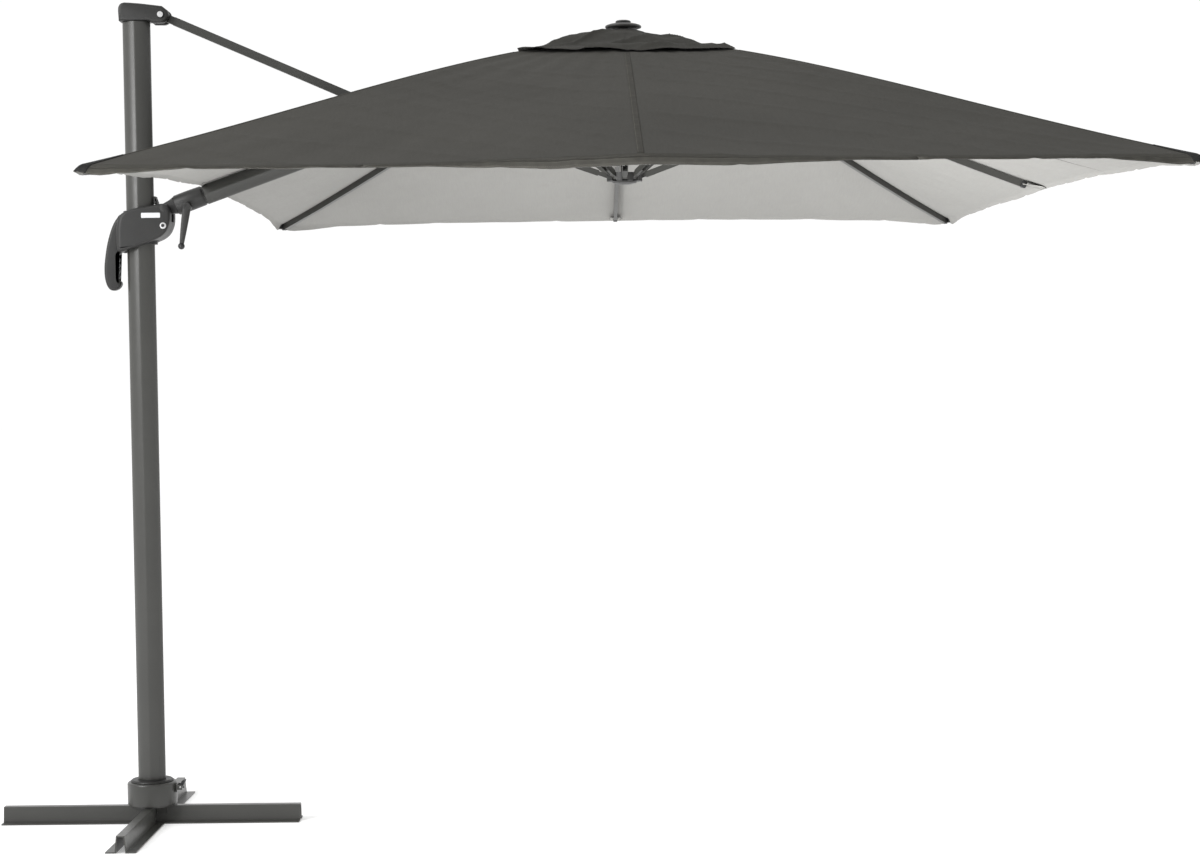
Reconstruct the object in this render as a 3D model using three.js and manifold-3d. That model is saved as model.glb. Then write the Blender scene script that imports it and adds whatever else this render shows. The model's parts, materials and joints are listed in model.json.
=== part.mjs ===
// Cantilever parasol: a cross base, a turning oval mast, a slider with a grip, a folding boom held by a strut,
// and a rectangular canopy on seven ribs and the boom. Millimetres, +Z up, origin on the floor under the mast.
// +X runs along the boom towards the canopy.
import * as THREE from 'three';
import { mergeVertices } from 'three/addons/utils/BufferGeometryUtils.js';
import Module from 'manifold-3d';

const wasm = await Module();
wasm.setup();

// ---------- driving dimensions ----------
const deg = THREE.MathUtils.degToRad;
const GAP = 0.3;                       // between pieces that touch

// the fold: cap pivot C, knuckle pivot P and strut pivot J
const PIVOT_X = 90;
const CAP_PIVOT_Z = 2775;
const KNUCKLE_Z = 2119;
const STRUT_ANGLE = deg(23.6);         // strut below the horizontal
const STRUT_LENGTH = (CAP_PIVOT_Z - KNUCKLE_Z) / (2 * Math.sin(STRUT_ANGLE));
const STRUT_OFFSET = 58;               // strut pivot above the boom's axis
const BOOM_ANGLE = STRUT_ANGLE - Math.asin(STRUT_OFFSET / STRUT_LENGTH);
const STRUT_ALONG = STRUT_LENGTH * Math.cos(STRUT_ANGLE - BOOM_ANGLE);   // along the boom
const SIDE_TILT = deg(1.75);           // the canopy's own roll about the boom

// the crown and the runner under it
const HINGE_R = 50;
const CROWN_X = 1664;
const BOOM_LENGTH = (CROWN_X - HINGE_R - PIVOT_X) / Math.cos(BOOM_ANGLE);
const CROWN_Z = KNUCKLE_Z + BOOM_LENGTH * Math.sin(BOOM_ANGLE);
const STRETCHER = 668;                 // boom stretcher, and its place on the boom
const RUNNER_DROP = 2 * STRETCHER * Math.sin(BOOM_ANGLE);
const FOLD = deg(66);
const CLOSED_DROP = 2 * STRETCHER * Math.sin(BOOM_ANGLE + FOLD);
const CLOSED_ANGLE = deg(85);

// the canopy's half sizes at the hem
const HALF_X = 1450;
const HALF_Y = 1920;
const CORNER_AZIMUTH = Math.atan2(HALF_Y, HALF_X);
const FABRIC = 1.2;

// mast and base
const MAST = { x: 95, y: 68, wall: 2.4, foot: 112, top: 2755.7 };
const CROSS = { length: 1030, height: 57, web: 28, mouth: 39, width: 101, sheet: 4 };
const HUB = { r: 85, bore: 58, z: 63.3, floor: 75, shoulder: 132, top: 141, bevel: 7 };

// ---------- materials ----------
function paint(color, roughness, metalness) {
  return new THREE.MeshStandardMaterial({ color, roughness, metalness });
}
const frameSteel = paint(0x4a4b4b, 0.45, 0.6);
const frameAluminium = paint(0x555655, 0.42, 0.6);
const moulding = paint(0x454646, 0.6, 0.0);
const darkMoulding = paint(0x1d1e1f, 0.5, 0.0);
const brightSteel = paint(0xb9babb, 0.3, 1.0);
const cloth = paint(0x4b4a46, 0.9, 0.0);
const blankLabel = paint(0xd9dadb, 0.5, 0.0);

// ---------- solids ----------
// a closed geometry with its shared corners merged, its empty triangles dropped and its faces pointing out
function closed(geometry) {
  const bare = geometry.clone();
  bare.deleteAttribute('normal');
  bare.deleteAttribute('uv');
  const merged = mergeVertices(bare, 1e-3);
  const p = merged.attributes.position;
  const a = new THREE.Vector3();
  const b = new THREE.Vector3();
  const c = new THREE.Vector3();
  const kept = [];
  let volume = 0;
  for (let i = 0; i < merged.index.count; i += 3) {
    const [j, k, l] = [0, 1, 2].map((n) => merged.index.getX(i + n));
    if (j === k || k === l || l === j) continue;
    a.fromBufferAttribute(p, j);
    b.fromBufferAttribute(p, k);
    c.fromBufferAttribute(p, l);
    volume += a.dot(b.cross(c));
    kept.push([j, k, l]);
  }
  const faces = volume < 0 ? kept.map(([j, k, l]) => [j, l, k]) : kept;
  merged.setIndex(faces.flat());
  return merged;
}

function solid(geometry, matrix = new THREE.Matrix4()) {
  const g = closed(geometry.clone().applyMatrix4(matrix));
  const vertProperties = Float32Array.from(g.attributes.position.array);
  const triVerts = Uint32Array.from(g.index.array);
  return new wasm.Manifold(new wasm.Mesh({ numProp: 3, vertProperties, triVerts }));
}

function geometryOf(shape) {
  const mesh = shape.getMesh();
  const g = new THREE.BufferGeometry();
  g.setAttribute('position', new THREE.BufferAttribute(mesh.vertProperties, 3));
  g.setIndex(new THREE.BufferAttribute(mesh.triVerts, 1));
  g.computeVertexNormals();
  return g;
}

function join(first, ...others) {
  return others.reduce((whole, piece) => whole.add(piece), first);
}

function cut(first, ...others) {
  return others.reduce((whole, piece) => whole.subtract(piece), first);
}

// ---------- outlines and simple bodies ----------
function polygon(points) {
  const shape = new THREE.Shape();
  points.forEach(([x, y], i) => (i === 0 ? shape.moveTo(x, y) : shape.lineTo(x, y)));
  shape.closePath();
  return shape;
}

function oval(width, height, sides = 20) {
  const points = [];
  for (let i = 0; i < sides; i += 1) {
    const t = (2 * Math.PI * (i + 0.5)) / sides;
    points.push([(width / 2) * Math.cos(t), (height / 2) * Math.sin(t)]);
  }
  return polygon(points);
}

function rectangle(x0, x1, y0, y1) {
  return polygon([[x0, y0], [x1, y0], [x1, y1], [x0, y1]]);
}

function tubeOf(outer, inner) {
  outer.holes.push(inner);
  return outer;
}

function extruded(shape, depth) {
  return new THREE.ExtrudeGeometry(shape, { depth, bevelEnabled: false, curveSegments: 6 });
}

// an outline in X and Y, standing from z0 to z1
function column(shape, z0, z1) {
  return extruded(shape, z1 - z0).translate(0, 0, z0);
}

// an outline in X and Z, from y0 to y1
function plate(shape, y0, y1) {
  return extruded(shape, y1 - y0).rotateX(Math.PI / 2).translate(0, y1, 0);
}

// a section in Y and Z, running along X from x0 to x1
function bar(shape, x0, x1) {
  const across = new THREE.Vector3(0, 1, 0);
  const up = new THREE.Vector3(0, 0, 1);
  const along = new THREE.Vector3(1, 0, 0);
  const turn = new THREE.Matrix4().makeBasis(across, up, along);
  return extruded(shape, x1 - x0).applyMatrix4(turn).translate(x0, 0, 0);
}

function block(x0, x1, y0, y1, z0, z1) {
  const g = new THREE.BoxGeometry(x1 - x0, y1 - y0, z1 - z0);
  return g.translate((x0 + x1) / 2, (y0 + y1) / 2, (z0 + z1) / 2);
}

// a round pin across the fold, along Y
function pin(r, y0, y1, x = 0, z = 0, sides = 12) {
  return new THREE.CylinderGeometry(r, r, y1 - y0, sides).translate(x, (y0 + y1) / 2, z);
}

// a turned body about Z from [radius, height] points
function turned(points, sides = 24) {
  const profile = points.map(([r, z]) => new THREE.Vector2(r, z));
  return new THREE.LatheGeometry(profile, sides).rotateX(Math.PI / 2);
}

function ringOf(rIn, rOut, z0, z1, sides = 24) {
  return turned([[rIn, z0], [rOut, z0], [rOut, z1], [rIn, z1], [rIn, z0]], sides);
}

// local X leaves origin at an azimuth, and points down by an angle
function placed(origin, down, azimuth = 0) {
  const turn = new THREE.Matrix4().makeRotationZ(azimuth);
  const dip = new THREE.Matrix4().makeRotationY(down);
  return new THREE.Matrix4().makeTranslation(origin).multiply(turn).multiply(dip);
}

// ---------- the scene graph ----------
const parasol = new THREE.Group();
const canopyGroup = new THREE.Group();   // everything that rolls with the boom
parasol.add(canopyGroup);

const knuckle = new THREE.Vector3(PIVOT_X, 0, KNUCKLE_Z);
const capPivot = new THREE.Vector3(PIVOT_X, 0, CAP_PIVOT_Z);
const boomAxis = new THREE.Vector3(Math.cos(BOOM_ANGLE), 0, Math.sin(BOOM_ANGLE));
const crownHinge = knuckle.clone().addScaledVector(boomAxis, BOOM_LENGTH);
const roll = new THREE.Quaternion().setFromAxisAngle(boomAxis, SIDE_TILT);
canopyGroup.quaternion.copy(roll);
canopyGroup.position.copy(knuckle).sub(knuckle.clone().applyQuaternion(roll));

function piece(name, shape, material, group = parasol, matrix = null) {
  const geometry = shape.isBufferGeometry ? closed(shape) : geometryOf(shape);
  const mesh = new THREE.Mesh(geometry, material);
  mesh.name = name;
  if (matrix) mesh.applyMatrix4(matrix);
  group.add(mesh);
}

// ---------- base ----------
function hatSection() {
  const { height, web, mouth, width, sheet } = CROSS;
  const foot = sheet + 0.2;
  const half = [
    [width / 2, 0], [width / 2, sheet], [mouth / 2 + 0.2, foot - 0.2], [web / 2, height],
  ];
  const inner = [[web / 2 - sheet, height - sheet], [mouth / 2 - sheet, 0]];
  const left = (points) => points.map(([x, y]) => [-x, y]).reverse();
  return polygon([...inner, ...half, ...left(half), ...left(inner)]);
}

function makeBase() {
  const { length, height, width } = CROSS;
  const lap = width / 2 + 0.5;
  const half = height / 2;
  const boltHole = new THREE.CylinderGeometry(7, 7, 400, 16).rotateX(Math.PI / 2);
  const arm = solid(bar(hatSection(), -length / 2, length / 2));
  const quarter = new THREE.Matrix4().makeRotationZ(Math.PI / 2);
  const crossArm = solid(bar(hatSection(), -length / 2, length / 2), quarter);
  const overLap = solid(block(-lap, lap, -width, width, half, height + 10));
  const underLap = solid(block(-width, width, -lap, lap, -10, half + GAP));
  piece('cross_arm_x', cut(arm, overLap), frameSteel);
  piece('cross_arm_y', cut(crossArm, underLap, solid(boltHole)), frameSteel);

  const head = 10;
  const top = HUB.floor + 10;
  const stud = [[0, 0], [10, 0], [10, head], [5.5, head], [5.5, top], [0, top]];
  piece('centre_bolt', turned(stud, 12), brightSteel);
  piece('foot_plate', ringOf(7, 72, height + GAP, HUB.z - GAP, 24), frameSteel);

  const { r, bore, z, floor, shoulder, bevel } = HUB;
  piece('base_hub', turned([
    [7, z], [r, z], [r, shoulder], [r - bevel, HUB.top], [bore, HUB.top], [bore, floor], [7, floor], [7, z],
  ]), frameSteel);
  makePedal();
}

function makePedal() {
  const axisX = 101;
  const axisZ = 122;
  const earY = 21;
  const back = solid(block(HUB.r + 0.4, HUB.r + 5, -earY, earY, 104, 131));
  const ear = (y0) => {
    const side = solid(block(HUB.r + 1, axisX + 6, y0, y0 + 4, 112, 129));
    return cut(side, solid(pin(3.4, y0 - 2, y0 + 6, axisX, axisZ)));
  };
  piece('pedal_bracket', join(back, ear(-earY), ear(earY - 4)), frameSteel);
  piece('pedal_pin', pin(3, -earY - 1, earY + 1, axisX, axisZ, 12), brightSteel);

  const halfWidth = earY - 4.6;
  const tread = polygon([[-5, -4], [4, -5], [16, 20], [11, 24], [4, 21], [-4, 6]]);
  const lobe = solid(plate(tread, -halfWidth, halfWidth));
  const eye = solid(pin(6, -halfWidth, halfWidth));
  const hole = solid(pin(3.5, -earY, earY));
  const place = new THREE.Matrix4().makeTranslation(axisX, 0, axisZ);
  piece('rotation_pedal', cut(join(lobe, eye), hole), darkMoulding, parasol, place);
}

// ---------- mast ----------
function makeMast() {
  const { x, y, wall, foot, top } = MAST;
  const inX = x - 2 * wall;
  const inY = y - 2 * wall;
  piece('mast_tube', column(tubeOf(oval(x, y), oval(inX, inY)), foot, top), frameSteel);

  const disc = turned([
    [8, HUB.floor + GAP], [HUB.bore - 0.6, HUB.floor + GAP], [HUB.bore - 0.6, foot - GAP], [8, foot - GAP],
    [8, HUB.floor + GAP],
  ]);
  const plugShape = column(oval(inX - 1, inY - 1), foot - 8, 230);
  const well = ringOf(0.01, 8, HUB.floor - 5, foot - 15, 16);
  piece('mast_foot', join(cut(solid(disc), solid(well)), solid(plugShape)), frameAluminium);

  const cover = solid(turned([[0, HUB.top + GAP], [74, HUB.top + GAP], [70, 149], [0, 149]]));
  piece('turning_cover', cut(cover, solid(column(oval(x + 1, y + 1), 100, 200))), moulding);
  makeCap(inX, inY);
}

function makeCap(inX, inY) {
  const halfWidth = 38;
  const nose = new THREE.Shape();
  nose.moveTo(-54, MAST.top + GAP);
  nose.lineTo(49.5, MAST.top + GAP);
  nose.lineTo(60, CAP_PIVOT_Z - 26.6);
  nose.absarc(PIVOT_X, CAP_PIVOT_Z, 27, deg(-100), deg(35), false);
  nose.lineTo(98, 2806);
  nose.lineTo(-30, 2819);
  nose.lineTo(-48, 2815);
  nose.lineTo(-56, 2803);
  const body = solid(plate(nose, -halfWidth, halfWidth));
  const plugShape = solid(column(oval(inX - 1, inY - 1), 2690, MAST.top + 10));
  const slot = solid(block(64, 140, -13, 13, 2700, 2796));
  const hole = solid(pin(6.4, -60, 60, PIVOT_X, CAP_PIVOT_Z));
  piece('mast_cap', cut(join(body, plugShape), slot, hole), moulding);

  const shank = solid(pin(6, -halfWidth - 4, halfWidth + 4, PIVOT_X, CAP_PIVOT_Z));
  const headNear = solid(pin(10, -halfWidth - 8, -halfWidth - GAP, PIVOT_X, CAP_PIVOT_Z));
  const headFar = solid(pin(10, halfWidth + GAP, halfWidth + 8, PIVOT_X, CAP_PIVOT_Z));
  piece('cap_bolt', join(shank, headNear, headFar), brightSteel);
}

// ---------- strut ----------
function makeStrut() {
  const place = placed(capPivot, STRUT_ANGLE);
  const high = 28;
  const wide = 20;
  const wall = 1.5;
  const start = 44;
  const end = STRUT_LENGTH - 50;
  const outer = rectangle(-wide / 2, wide / 2, -high / 2, high / 2);
  const innerWide = wide / 2 - wall;
  const innerHigh = high / 2 - wall;
  const inner = rectangle(-innerWide, innerWide, -innerHigh, innerHigh);
  piece('strut_tube', bar(tubeOf(outer, inner), start, end), frameAluminium, parasol, place);

  const plug = (x0, x1) => solid(bar(rectangle(1 - innerWide, innerWide - 1, 1 - innerHigh, innerHigh - 1), x0, x1));
  const eye = join(solid(pin(16, -12, 12)), solid(block(0, start - GAP, -10, 10, -13, 13)));
  const top = cut(join(eye, plug(start - 6, start + 60)), solid(pin(6.5, -20, 20)));
  piece('strut_top_end', top, frameAluminium, parasol, place);

  const cheek = (y0) => join(
    solid(pin(14, y0, y0 + 5, STRUT_LENGTH, 0)),
    solid(block(end + GAP, STRUT_LENGTH, y0, y0 + 5, -12, 12)),
  );
  const heel = solid(block(end + GAP, end + 14, -15, 15, -12, 12));
  const hole = solid(pin(5.4, -20, 20, STRUT_LENGTH, 0));
  const fork = cut(join(heel, cheek(-15), cheek(10), plug(end - 60, end + 6)), hole);
  piece('strut_fork', fork, frameAluminium, parasol, place);
  piece('strut_pin', pin(5, -18, 18, STRUT_LENGTH, 0, 12), brightSteel, parasol, place);
}

// ---------- boom arm: what carries the boom but doesn't roll with it ----------
const boomPlace = placed(knuckle, -BOOM_ANGLE);
const SLEEVE = { r: 34, bore: 27.7, start: 36, end: 138 };
const JOURNAL_R = 27;
const COLLAR = { bush: 38, bore: 39, r: 44, half: 28 };

// a round tube along the boom's axis
function boomRing(rIn, rOut, x0, x1) {
  return bar(tubeOf(oval(2 * rOut, 2 * rOut), oval(2 * rIn, 2 * rIn)), x0, x1);
}

function makeBoomArm() {
  const { r, bore, start, end } = SLEEVE;
  const tube = solid(boomRing(bore, r, start + 8, end));
  const rim = solid(boomRing(bore, r + 1.5, end - 10, end));
  const endWall = solid(bar(oval(2 * r, 2 * r), start, start + 11));
  const eye = solid(pin(20, -18, 18));
  const web = solid(plate(polygon([[0, -19], [start + 5, -26], [start + 5, 26], [0, 19]]), -18, 18));
  const pinHole = solid(pin(7.7, -40, 40));
  const boss = solid(pin(13, -46, -16, LEVER.along, LEVER.below));
  const slit = solid(block(end - 50, end + 5, -2, 2, -60, -20));
  const passage = solid(bar(oval(2 * bore, 2 * bore), start + 11, end + 5));
  const sleeve = cut(join(tube, rim, endWall, eye, web, boss), passage, pinHole, slit);
  piece('tilt_sleeve', sleeve, moulding, parasol, boomPlace);

  const ring = solid(boomRing(COLLAR.bore, COLLAR.r, STRUT_ALONG - COLLAR.half, STRUT_ALONG + COLLAR.half));
  const lug = join(
    solid(pin(13, -9, 9, STRUT_ALONG, STRUT_OFFSET)),
    solid(plate(polygon([
      [STRUT_ALONG - 20, 41.5], [STRUT_ALONG + 20, 41.5], [STRUT_ALONG + 12, 60], [STRUT_ALONG - 12, 60],
    ]), -9, 9)),
  );
  const lugHole = solid(pin(5.4, -20, 20, STRUT_ALONG, STRUT_OFFSET));
  piece('strut_collar', cut(join(ring, lug), lugHole), frameAluminium, parasol, boomPlace);
}

// ---------- clamp lever on the sleeve ----------
const LEVER = { along: 77, below: -23, length: 124 };

function makeClampLever() {
  const place = boomPlace.clone()
    .multiply(new THREE.Matrix4().makeTranslation(LEVER.along, 0, LEVER.below))
    .multiply(new THREE.Matrix4().makeRotationY(BOOM_ANGLE + deg(99)));
  const { length } = LEVER;
  const arm = polygon([[0, -9], [length, -4.5], [length, 4.5], [0, 9]]);
  const body = join(solid(pin(14, -60, -46.4, 0, 0, 20)), solid(plate(arm, -58, -51)));
  piece('clamp_lever', body, moulding, parasol, place);
  const ball = new THREE.SphereGeometry(11.5, 12, 8).translate(length + 11.9, -54.5, 0);
  piece('lever_knob', ball, darkMoulding, parasol, place);
}

// ---------- slider ----------
const HOUSING_HALF = 56;
const GRIP_HALF = 19;

function housingOutline() {
  const body = new THREE.Shape();
  body.moveTo(-76, 2079);
  body.quadraticCurveTo(-72, 2109, -44, 2115);
  body.lineTo(-4, 2121);
  body.lineTo(86, 2135);
  body.quadraticCurveTo(112, 2127, 111, 2089);
  body.quadraticCurveTo(108, 2049, 90, 2033);
  body.quadraticCurveTo(70, 2017, 48, 2008);
  body.lineTo(-8, 1985);
  body.lineTo(-76, 1966);
  return body;
}

function gripOutline() {
  const grip = new THREE.Shape();
  grip.moveTo(-70, 2101);
  grip.quadraticCurveTo(-108, 2049, -121, 1974);
  grip.quadraticCurveTo(-131, 1909, -116, 1857);
  grip.quadraticCurveTo(-108, 1837, -88, 1843);
  grip.quadraticCurveTo(-70, 1851, -67, 1866);
  grip.lineTo(-75, 1877);
  grip.lineTo(-75, 1961);
  grip.lineTo(-66, 1969);
  return grip;
}

function makeHousing(name, side) {
  const span = (half) => (side < 0 ? [-half, -0.2] : [0.2, half]);
  const body = solid(plate(housingOutline(), ...span(HOUSING_HALF)));
  const grip = solid(plate(gripOutline(), ...span(GRIP_HALF)));
  const passage = solid(column(oval(MAST.x + 24, MAST.y + 24), 1900, 2200));
  const slot = solid(block(67, 150, -18.5, 18.5, 2075, 2169));
  const pinHole = solid(pin(7.3, -50.3, 50.3, PIVOT_X, KNUCKLE_Z));
  const boltHole = solid(pin(4.4, -80, 80, BOLT.x, BOLT.z));
  const pocket = solid(block(-97, -60, -9, 9, 1875, 1963));
  piece(name, cut(join(body, grip), passage, slot, pinHole, boltHole, pocket), moulding);
}

const BOLT = { x: 88, z: 2059 };

function triggerOutline() {
  const fingers = 4;
  const pitch = 20;
  const points = [[-88, 1879], [-78, 1879]];
  for (let i = 0; i < fingers; i += 1) {
    const z = 1879 + pitch * i;
    points.push([-73, z + 2], [-77, z + pitch / 2], [-73, z + pitch - 2]);
  }
  points.push([-78, 1959], [-88, 1959]);
  return polygon(points);
}

function makeSlider() {
  makeHousing('slider_housing_near', -1);
  makeHousing('slider_housing_far', 1);
  const clear = 2.4;
  const wall = 14;
  const liner = tubeOf(oval(MAST.x + wall + 6, MAST.y + wall + 6), oval(MAST.x + clear, MAST.y + clear));
  piece('slider_carriage', column(liner, 1999, 2113), darkMoulding);
  const stopFoot = solid(block(50, 62, -18, 18, 2135.6, 2146));
  const stopLip = solid(block(50, 56.5, -18, 18, 2145, 2162));
  piece('carriage_stop', join(stopFoot, stopLip), moulding);
  piece('knuckle_pin', pin(7, -50, 50, PIVOT_X, KNUCKLE_Z, 14), brightSteel);

  const near = -HOUSING_HALF;
  const shank = solid(pin(4, near - 2, HOUSING_HALF + 10, BOLT.x, BOLT.z, 12));
  const washer = solid(pin(10.7, near - 2.5, near - GAP, BOLT.x, BOLT.z, 20));
  const head = solid(pin(6.5, near - 6, near - 2, BOLT.x, BOLT.z, 6));
  piece('housing_bolt', join(shank, washer, head), brightSteel);
  const nut = solid(pin(7.5, HOUSING_HALF + GAP, HOUSING_HALF + 7, BOLT.x, BOLT.z, 6));
  piece('housing_nut', cut(nut, solid(pin(4.4, 0, 90, BOLT.x, BOLT.z, 12))), brightSteel);
  piece('label_plate', block(14, 79, near - 1.6, near - GAP, 2086, 2103), blankLabel);
  piece('release_trigger', plate(triggerOutline(), -8, 8), darkMoulding);
}

// ---------- boom ----------
const BOOM = { high: 68, wide: 48, wall: 1.8, start: 141.5, end: BOOM_LENGTH - 90 };

function boomTube(trim = 0) {
  return oval(BOOM.wide - 2 * trim, BOOM.high - 2 * trim);
}

// the eye and short cross pin of every piece that hinges on the crown or the runner
function hingeEye(r, halfWidth) {
  return join(solid(pin(r, -halfWidth, halfWidth, 0, 0, 10)), solid(pin(3, -12.5, 12.5, 0, 0, 6)));
}

function makeBoom() {
  const { high, wide, wall, start, end } = BOOM;
  const section = tubeOf(boomTube(), boomTube(wall));
  piece('boom_tube', bar(section, start, end), frameAluminium, canopyGroup, boomPlace);

  const round = solid(bar(oval(2 * JOURNAL_R, 2 * JOURNAL_R), SLEEVE.start + 12, start - GAP));
  const plugShape = solid(bar(boomTube(wall + 0.5), start - 1, start + 60));
  piece('boom_journal', join(round, plugShape), frameAluminium, canopyGroup, boomPlace);

  const bush = tubeOf(oval(2 * COLLAR.bush, 2 * COLLAR.bush), oval(wide + 1, high + 1));
  const bushBar = bar(bush, STRUT_ALONG - COLLAR.half - 5, STRUT_ALONG + COLLAR.half + 5);
  piece('collar_bush', bushBar, darkMoulding, canopyGroup, boomPlace);

  const place = placed(crownHinge, -BOOM_ANGLE);
  const taper = polygon([[-89.5, -33], [-89.5, 33], [-60, 24], [-16, 9], [4, 9], [4, -9], [-16, -9], [-60, -24]]);
  const shape = join(
    solid(plate(taper, -8.5, 8.5)),
    solid(bar(boomTube(0), -89.7, -72)),
    solid(bar(boomTube(wall + 0.5), -150, -80)),
    hingeEye(11, 8.5),
  );
  piece('boom_head', shape, frameAluminium, canopyGroup, place);
}

// ---------- crown, runner, ribs and stretchers ----------
const RIB = { high: 24, wide: 15, wall: 1.2, halfEye: 8.5, steps: 8 };
const ribs = [
  { name: 'right', azimuth: 0, down: deg(20.07), length: 1400, bow: 16 },
  { name: 'far_right', azimuth: CORNER_AZIMUTH, down: deg(12.94), length: 2360, bow: 36 },
  { name: 'far', azimuth: Math.PI / 2, down: deg(15.7), length: 1870, bow: 23 },
  { name: 'far_left', azimuth: Math.PI - CORNER_AZIMUTH, down: deg(12.94), length: 2360, bow: 36 },
  { name: 'near_left', azimuth: Math.PI + CORNER_AZIMUTH, down: deg(12.94), length: 2360, bow: 36 },
  { name: 'near', azimuth: -Math.PI / 2, down: deg(15.7), length: 1870, bow: 23 },
  { name: 'near_right', azimuth: -CORNER_AZIMUTH, down: deg(12.94), length: 2360, bow: 36 },
];
const BOOM_AZIMUTH = Math.PI;

// how far a rib's middle line stands above its chord, at a distance from its hinge: most at a third of its length
function bowAt(rib, x) {
  const t = x / rib.length;
  return 6.75 * rib.bow * t * (1 - t) ** 2;
}

// where a rib takes its stretcher, and the stretcher's length and slope: it fits the rib both open and closed
function strutting(rib) {
  let place = STRETCHER;
  let reach = STRETCHER;
  let open = rib.down;
  for (let i = 0; i < 6; i += 1) {
    const lift = Math.atan2(bowAt(rib, place), place);
    open = rib.down - lift;
    const shut = CLOSED_ANGLE - lift;
    const rise = CLOSED_DROP * Math.sin(shut) - RUNNER_DROP * Math.sin(open);
    reach = (CLOSED_DROP ** 2 - RUNNER_DROP ** 2) / (2 * rise);
    place = reach * Math.cos(lift);
  }
  const length = Math.sqrt(RUNNER_DROP ** 2 - 2 * RUNNER_DROP * reach * Math.sin(open) + reach ** 2);
  const up = Math.asin((RUNNER_DROP - reach * Math.sin(open)) / length);
  return { length, up };
}

function hingePoint(azimuth, z) {
  return new THREE.Vector3(CROWN_X + HINGE_R * Math.cos(azimuth), HINGE_R * Math.sin(azimuth), z);
}

// a disc with one slot and one pin hole for each rib and for the boom
function slottedHub() {
  const rim = 62;
  let hub = solid(turned([[0, -14], [rim, -14], [rim, 14], [0, 14]], 24));
  for (const azimuth of [...ribs.map((rib) => rib.azimuth), BOOM_AZIMUTH]) {
    const turn = new THREE.Matrix4().makeRotationZ(azimuth);
    hub = cut(hub, solid(block(36, 80, -9.3, 9.3, -30, 30), turn));
    hub = cut(hub, solid(pin(3.8, -13, 13, HINGE_R, 0, 6), turn));
  }
  return hub;
}

function strip(rib, x0, x1, halfHigh, halfWide) {
  const points = [];
  for (let i = 0; i <= RIB.steps; i += 1) {
    const x = x0 + ((x1 - x0) * i) / RIB.steps;
    points.push([x, bowAt(rib, x)]);
  }
  const low = points.map(([x, z]) => [x, z - halfHigh]);
  const high = points.map(([x, z]) => [x, z + halfHigh]).reverse();
  return solid(plate(polygon([...low, ...high]), -halfWide, halfWide));
}

function makeRib(rib) {
  const { high, wide, wall, halfEye } = RIB;
  const outer = strip(rib, 18, rib.length, high / 2, wide / 2);
  const inner = strip(rib, 70, rib.length + 10, high / 2 - wall, wide / 2 - wall);
  const neck = solid(block(0, 26, -halfEye + 1, halfEye - 1, -9, 9));
  const shape = join(cut(outer, inner), neck, hingeEye(11, halfEye));
  const place = placed(hingePoint(rib.azimuth, CROWN_Z), rib.down, rib.azimuth);
  piece(`rib_${rib.name}`, shape, frameAluminium, canopyGroup, place);
}

// a channel, open below so that the rib lies in it when folded, with its web cut back at the rib
function makeStretcher(rib) {
  const { length, up } = strutting(rib);
  const halfGap = RIB.wide / 2 + 0.8;
  const wall = 1.5;
  const deep = 10;
  const channel = solid(bar(polygon([
    [-halfGap - wall, -deep], [-halfGap, -deep], [-halfGap, deep - wall], [halfGap, deep - wall],
    [halfGap, -deep], [halfGap + wall, -deep], [halfGap + wall, deep], [-halfGap - wall, deep],
  ]), 24, length + 8));
  const throat = solid(block(length - 62, length + 20, -halfGap, halfGap, 0, 20));
  const nib = solid(block(length - 34, length + 20, -20, 20, 4, 20));
  const rivet = (y0, y1) => solid(pin(5, y0, y1, length, 0, 8));
  const outside = halfGap + wall;
  const heads = [rivet(-outside - 2.5, -outside + 0.5), rivet(outside - 0.5, outside + 2.5)];
  const root = solid(block(0, 50, -RIB.halfEye, RIB.halfEye, -7, 7));
  const shape = join(cut(channel, throat, nib), ...heads, root, hingeEye(9, RIB.halfEye));
  const place = placed(hingePoint(rib.azimuth, CROWN_Z - RUNNER_DROP), -up, rib.azimuth);
  piece(`stretcher_${rib.name}`, shape, frameAluminium, canopyGroup, place);
}

// a yoke whose two arms pass either side of the boom, and of the strut's collar when folded
const YOKE = { inner: COLLAR.r + 2.5, thick: 6, fork: 322, halfHigh: 10 };

function makeBoomStretcher() {
  const { inner, thick, fork, halfHigh } = YOKE;
  const outer = inner + thick;
  const arm = (y0) => solid(block(-12, fork, y0, y0 + thick, -halfHigh, halfHigh));
  const bridge = solid(block(fork - 22, fork, -outer, outer, -halfHigh, halfHigh));
  const centreBar = solid(block(fork - 10, STRETCHER - 42, -RIB.halfEye, RIB.halfEye, -halfHigh, halfHigh));
  const tongue = solid(block(STRETCHER - 46, STRETCHER, -RIB.halfEye, RIB.halfEye, -7, 7));
  const far = new THREE.Matrix4().makeTranslation(STRETCHER, 0, 0);
  const eye = hingeEye(9, RIB.halfEye).transform(far.toArray());
  const nearBoom = BOOM.wide / 2 + 1.5;
  const pivotPin = (y0, y1) => solid(pin(6, y0, y1, 0, 0, 8));
  const pins = [pivotPin(-outer - 3, -nearBoom), pivotPin(nearBoom, outer + 3)];
  const shape = join(arm(-outer), arm(inner), bridge, centreBar, tongue, eye, ...pins);
  const pivot = crownHinge.clone().addScaledVector(boomAxis, -STRETCHER);
  piece('boom_stretcher', shape, frameAluminium, canopyGroup, placed(pivot, BOOM_ANGLE));
}

const VENT_TOP = 2712;
const POST_R = 18;

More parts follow.
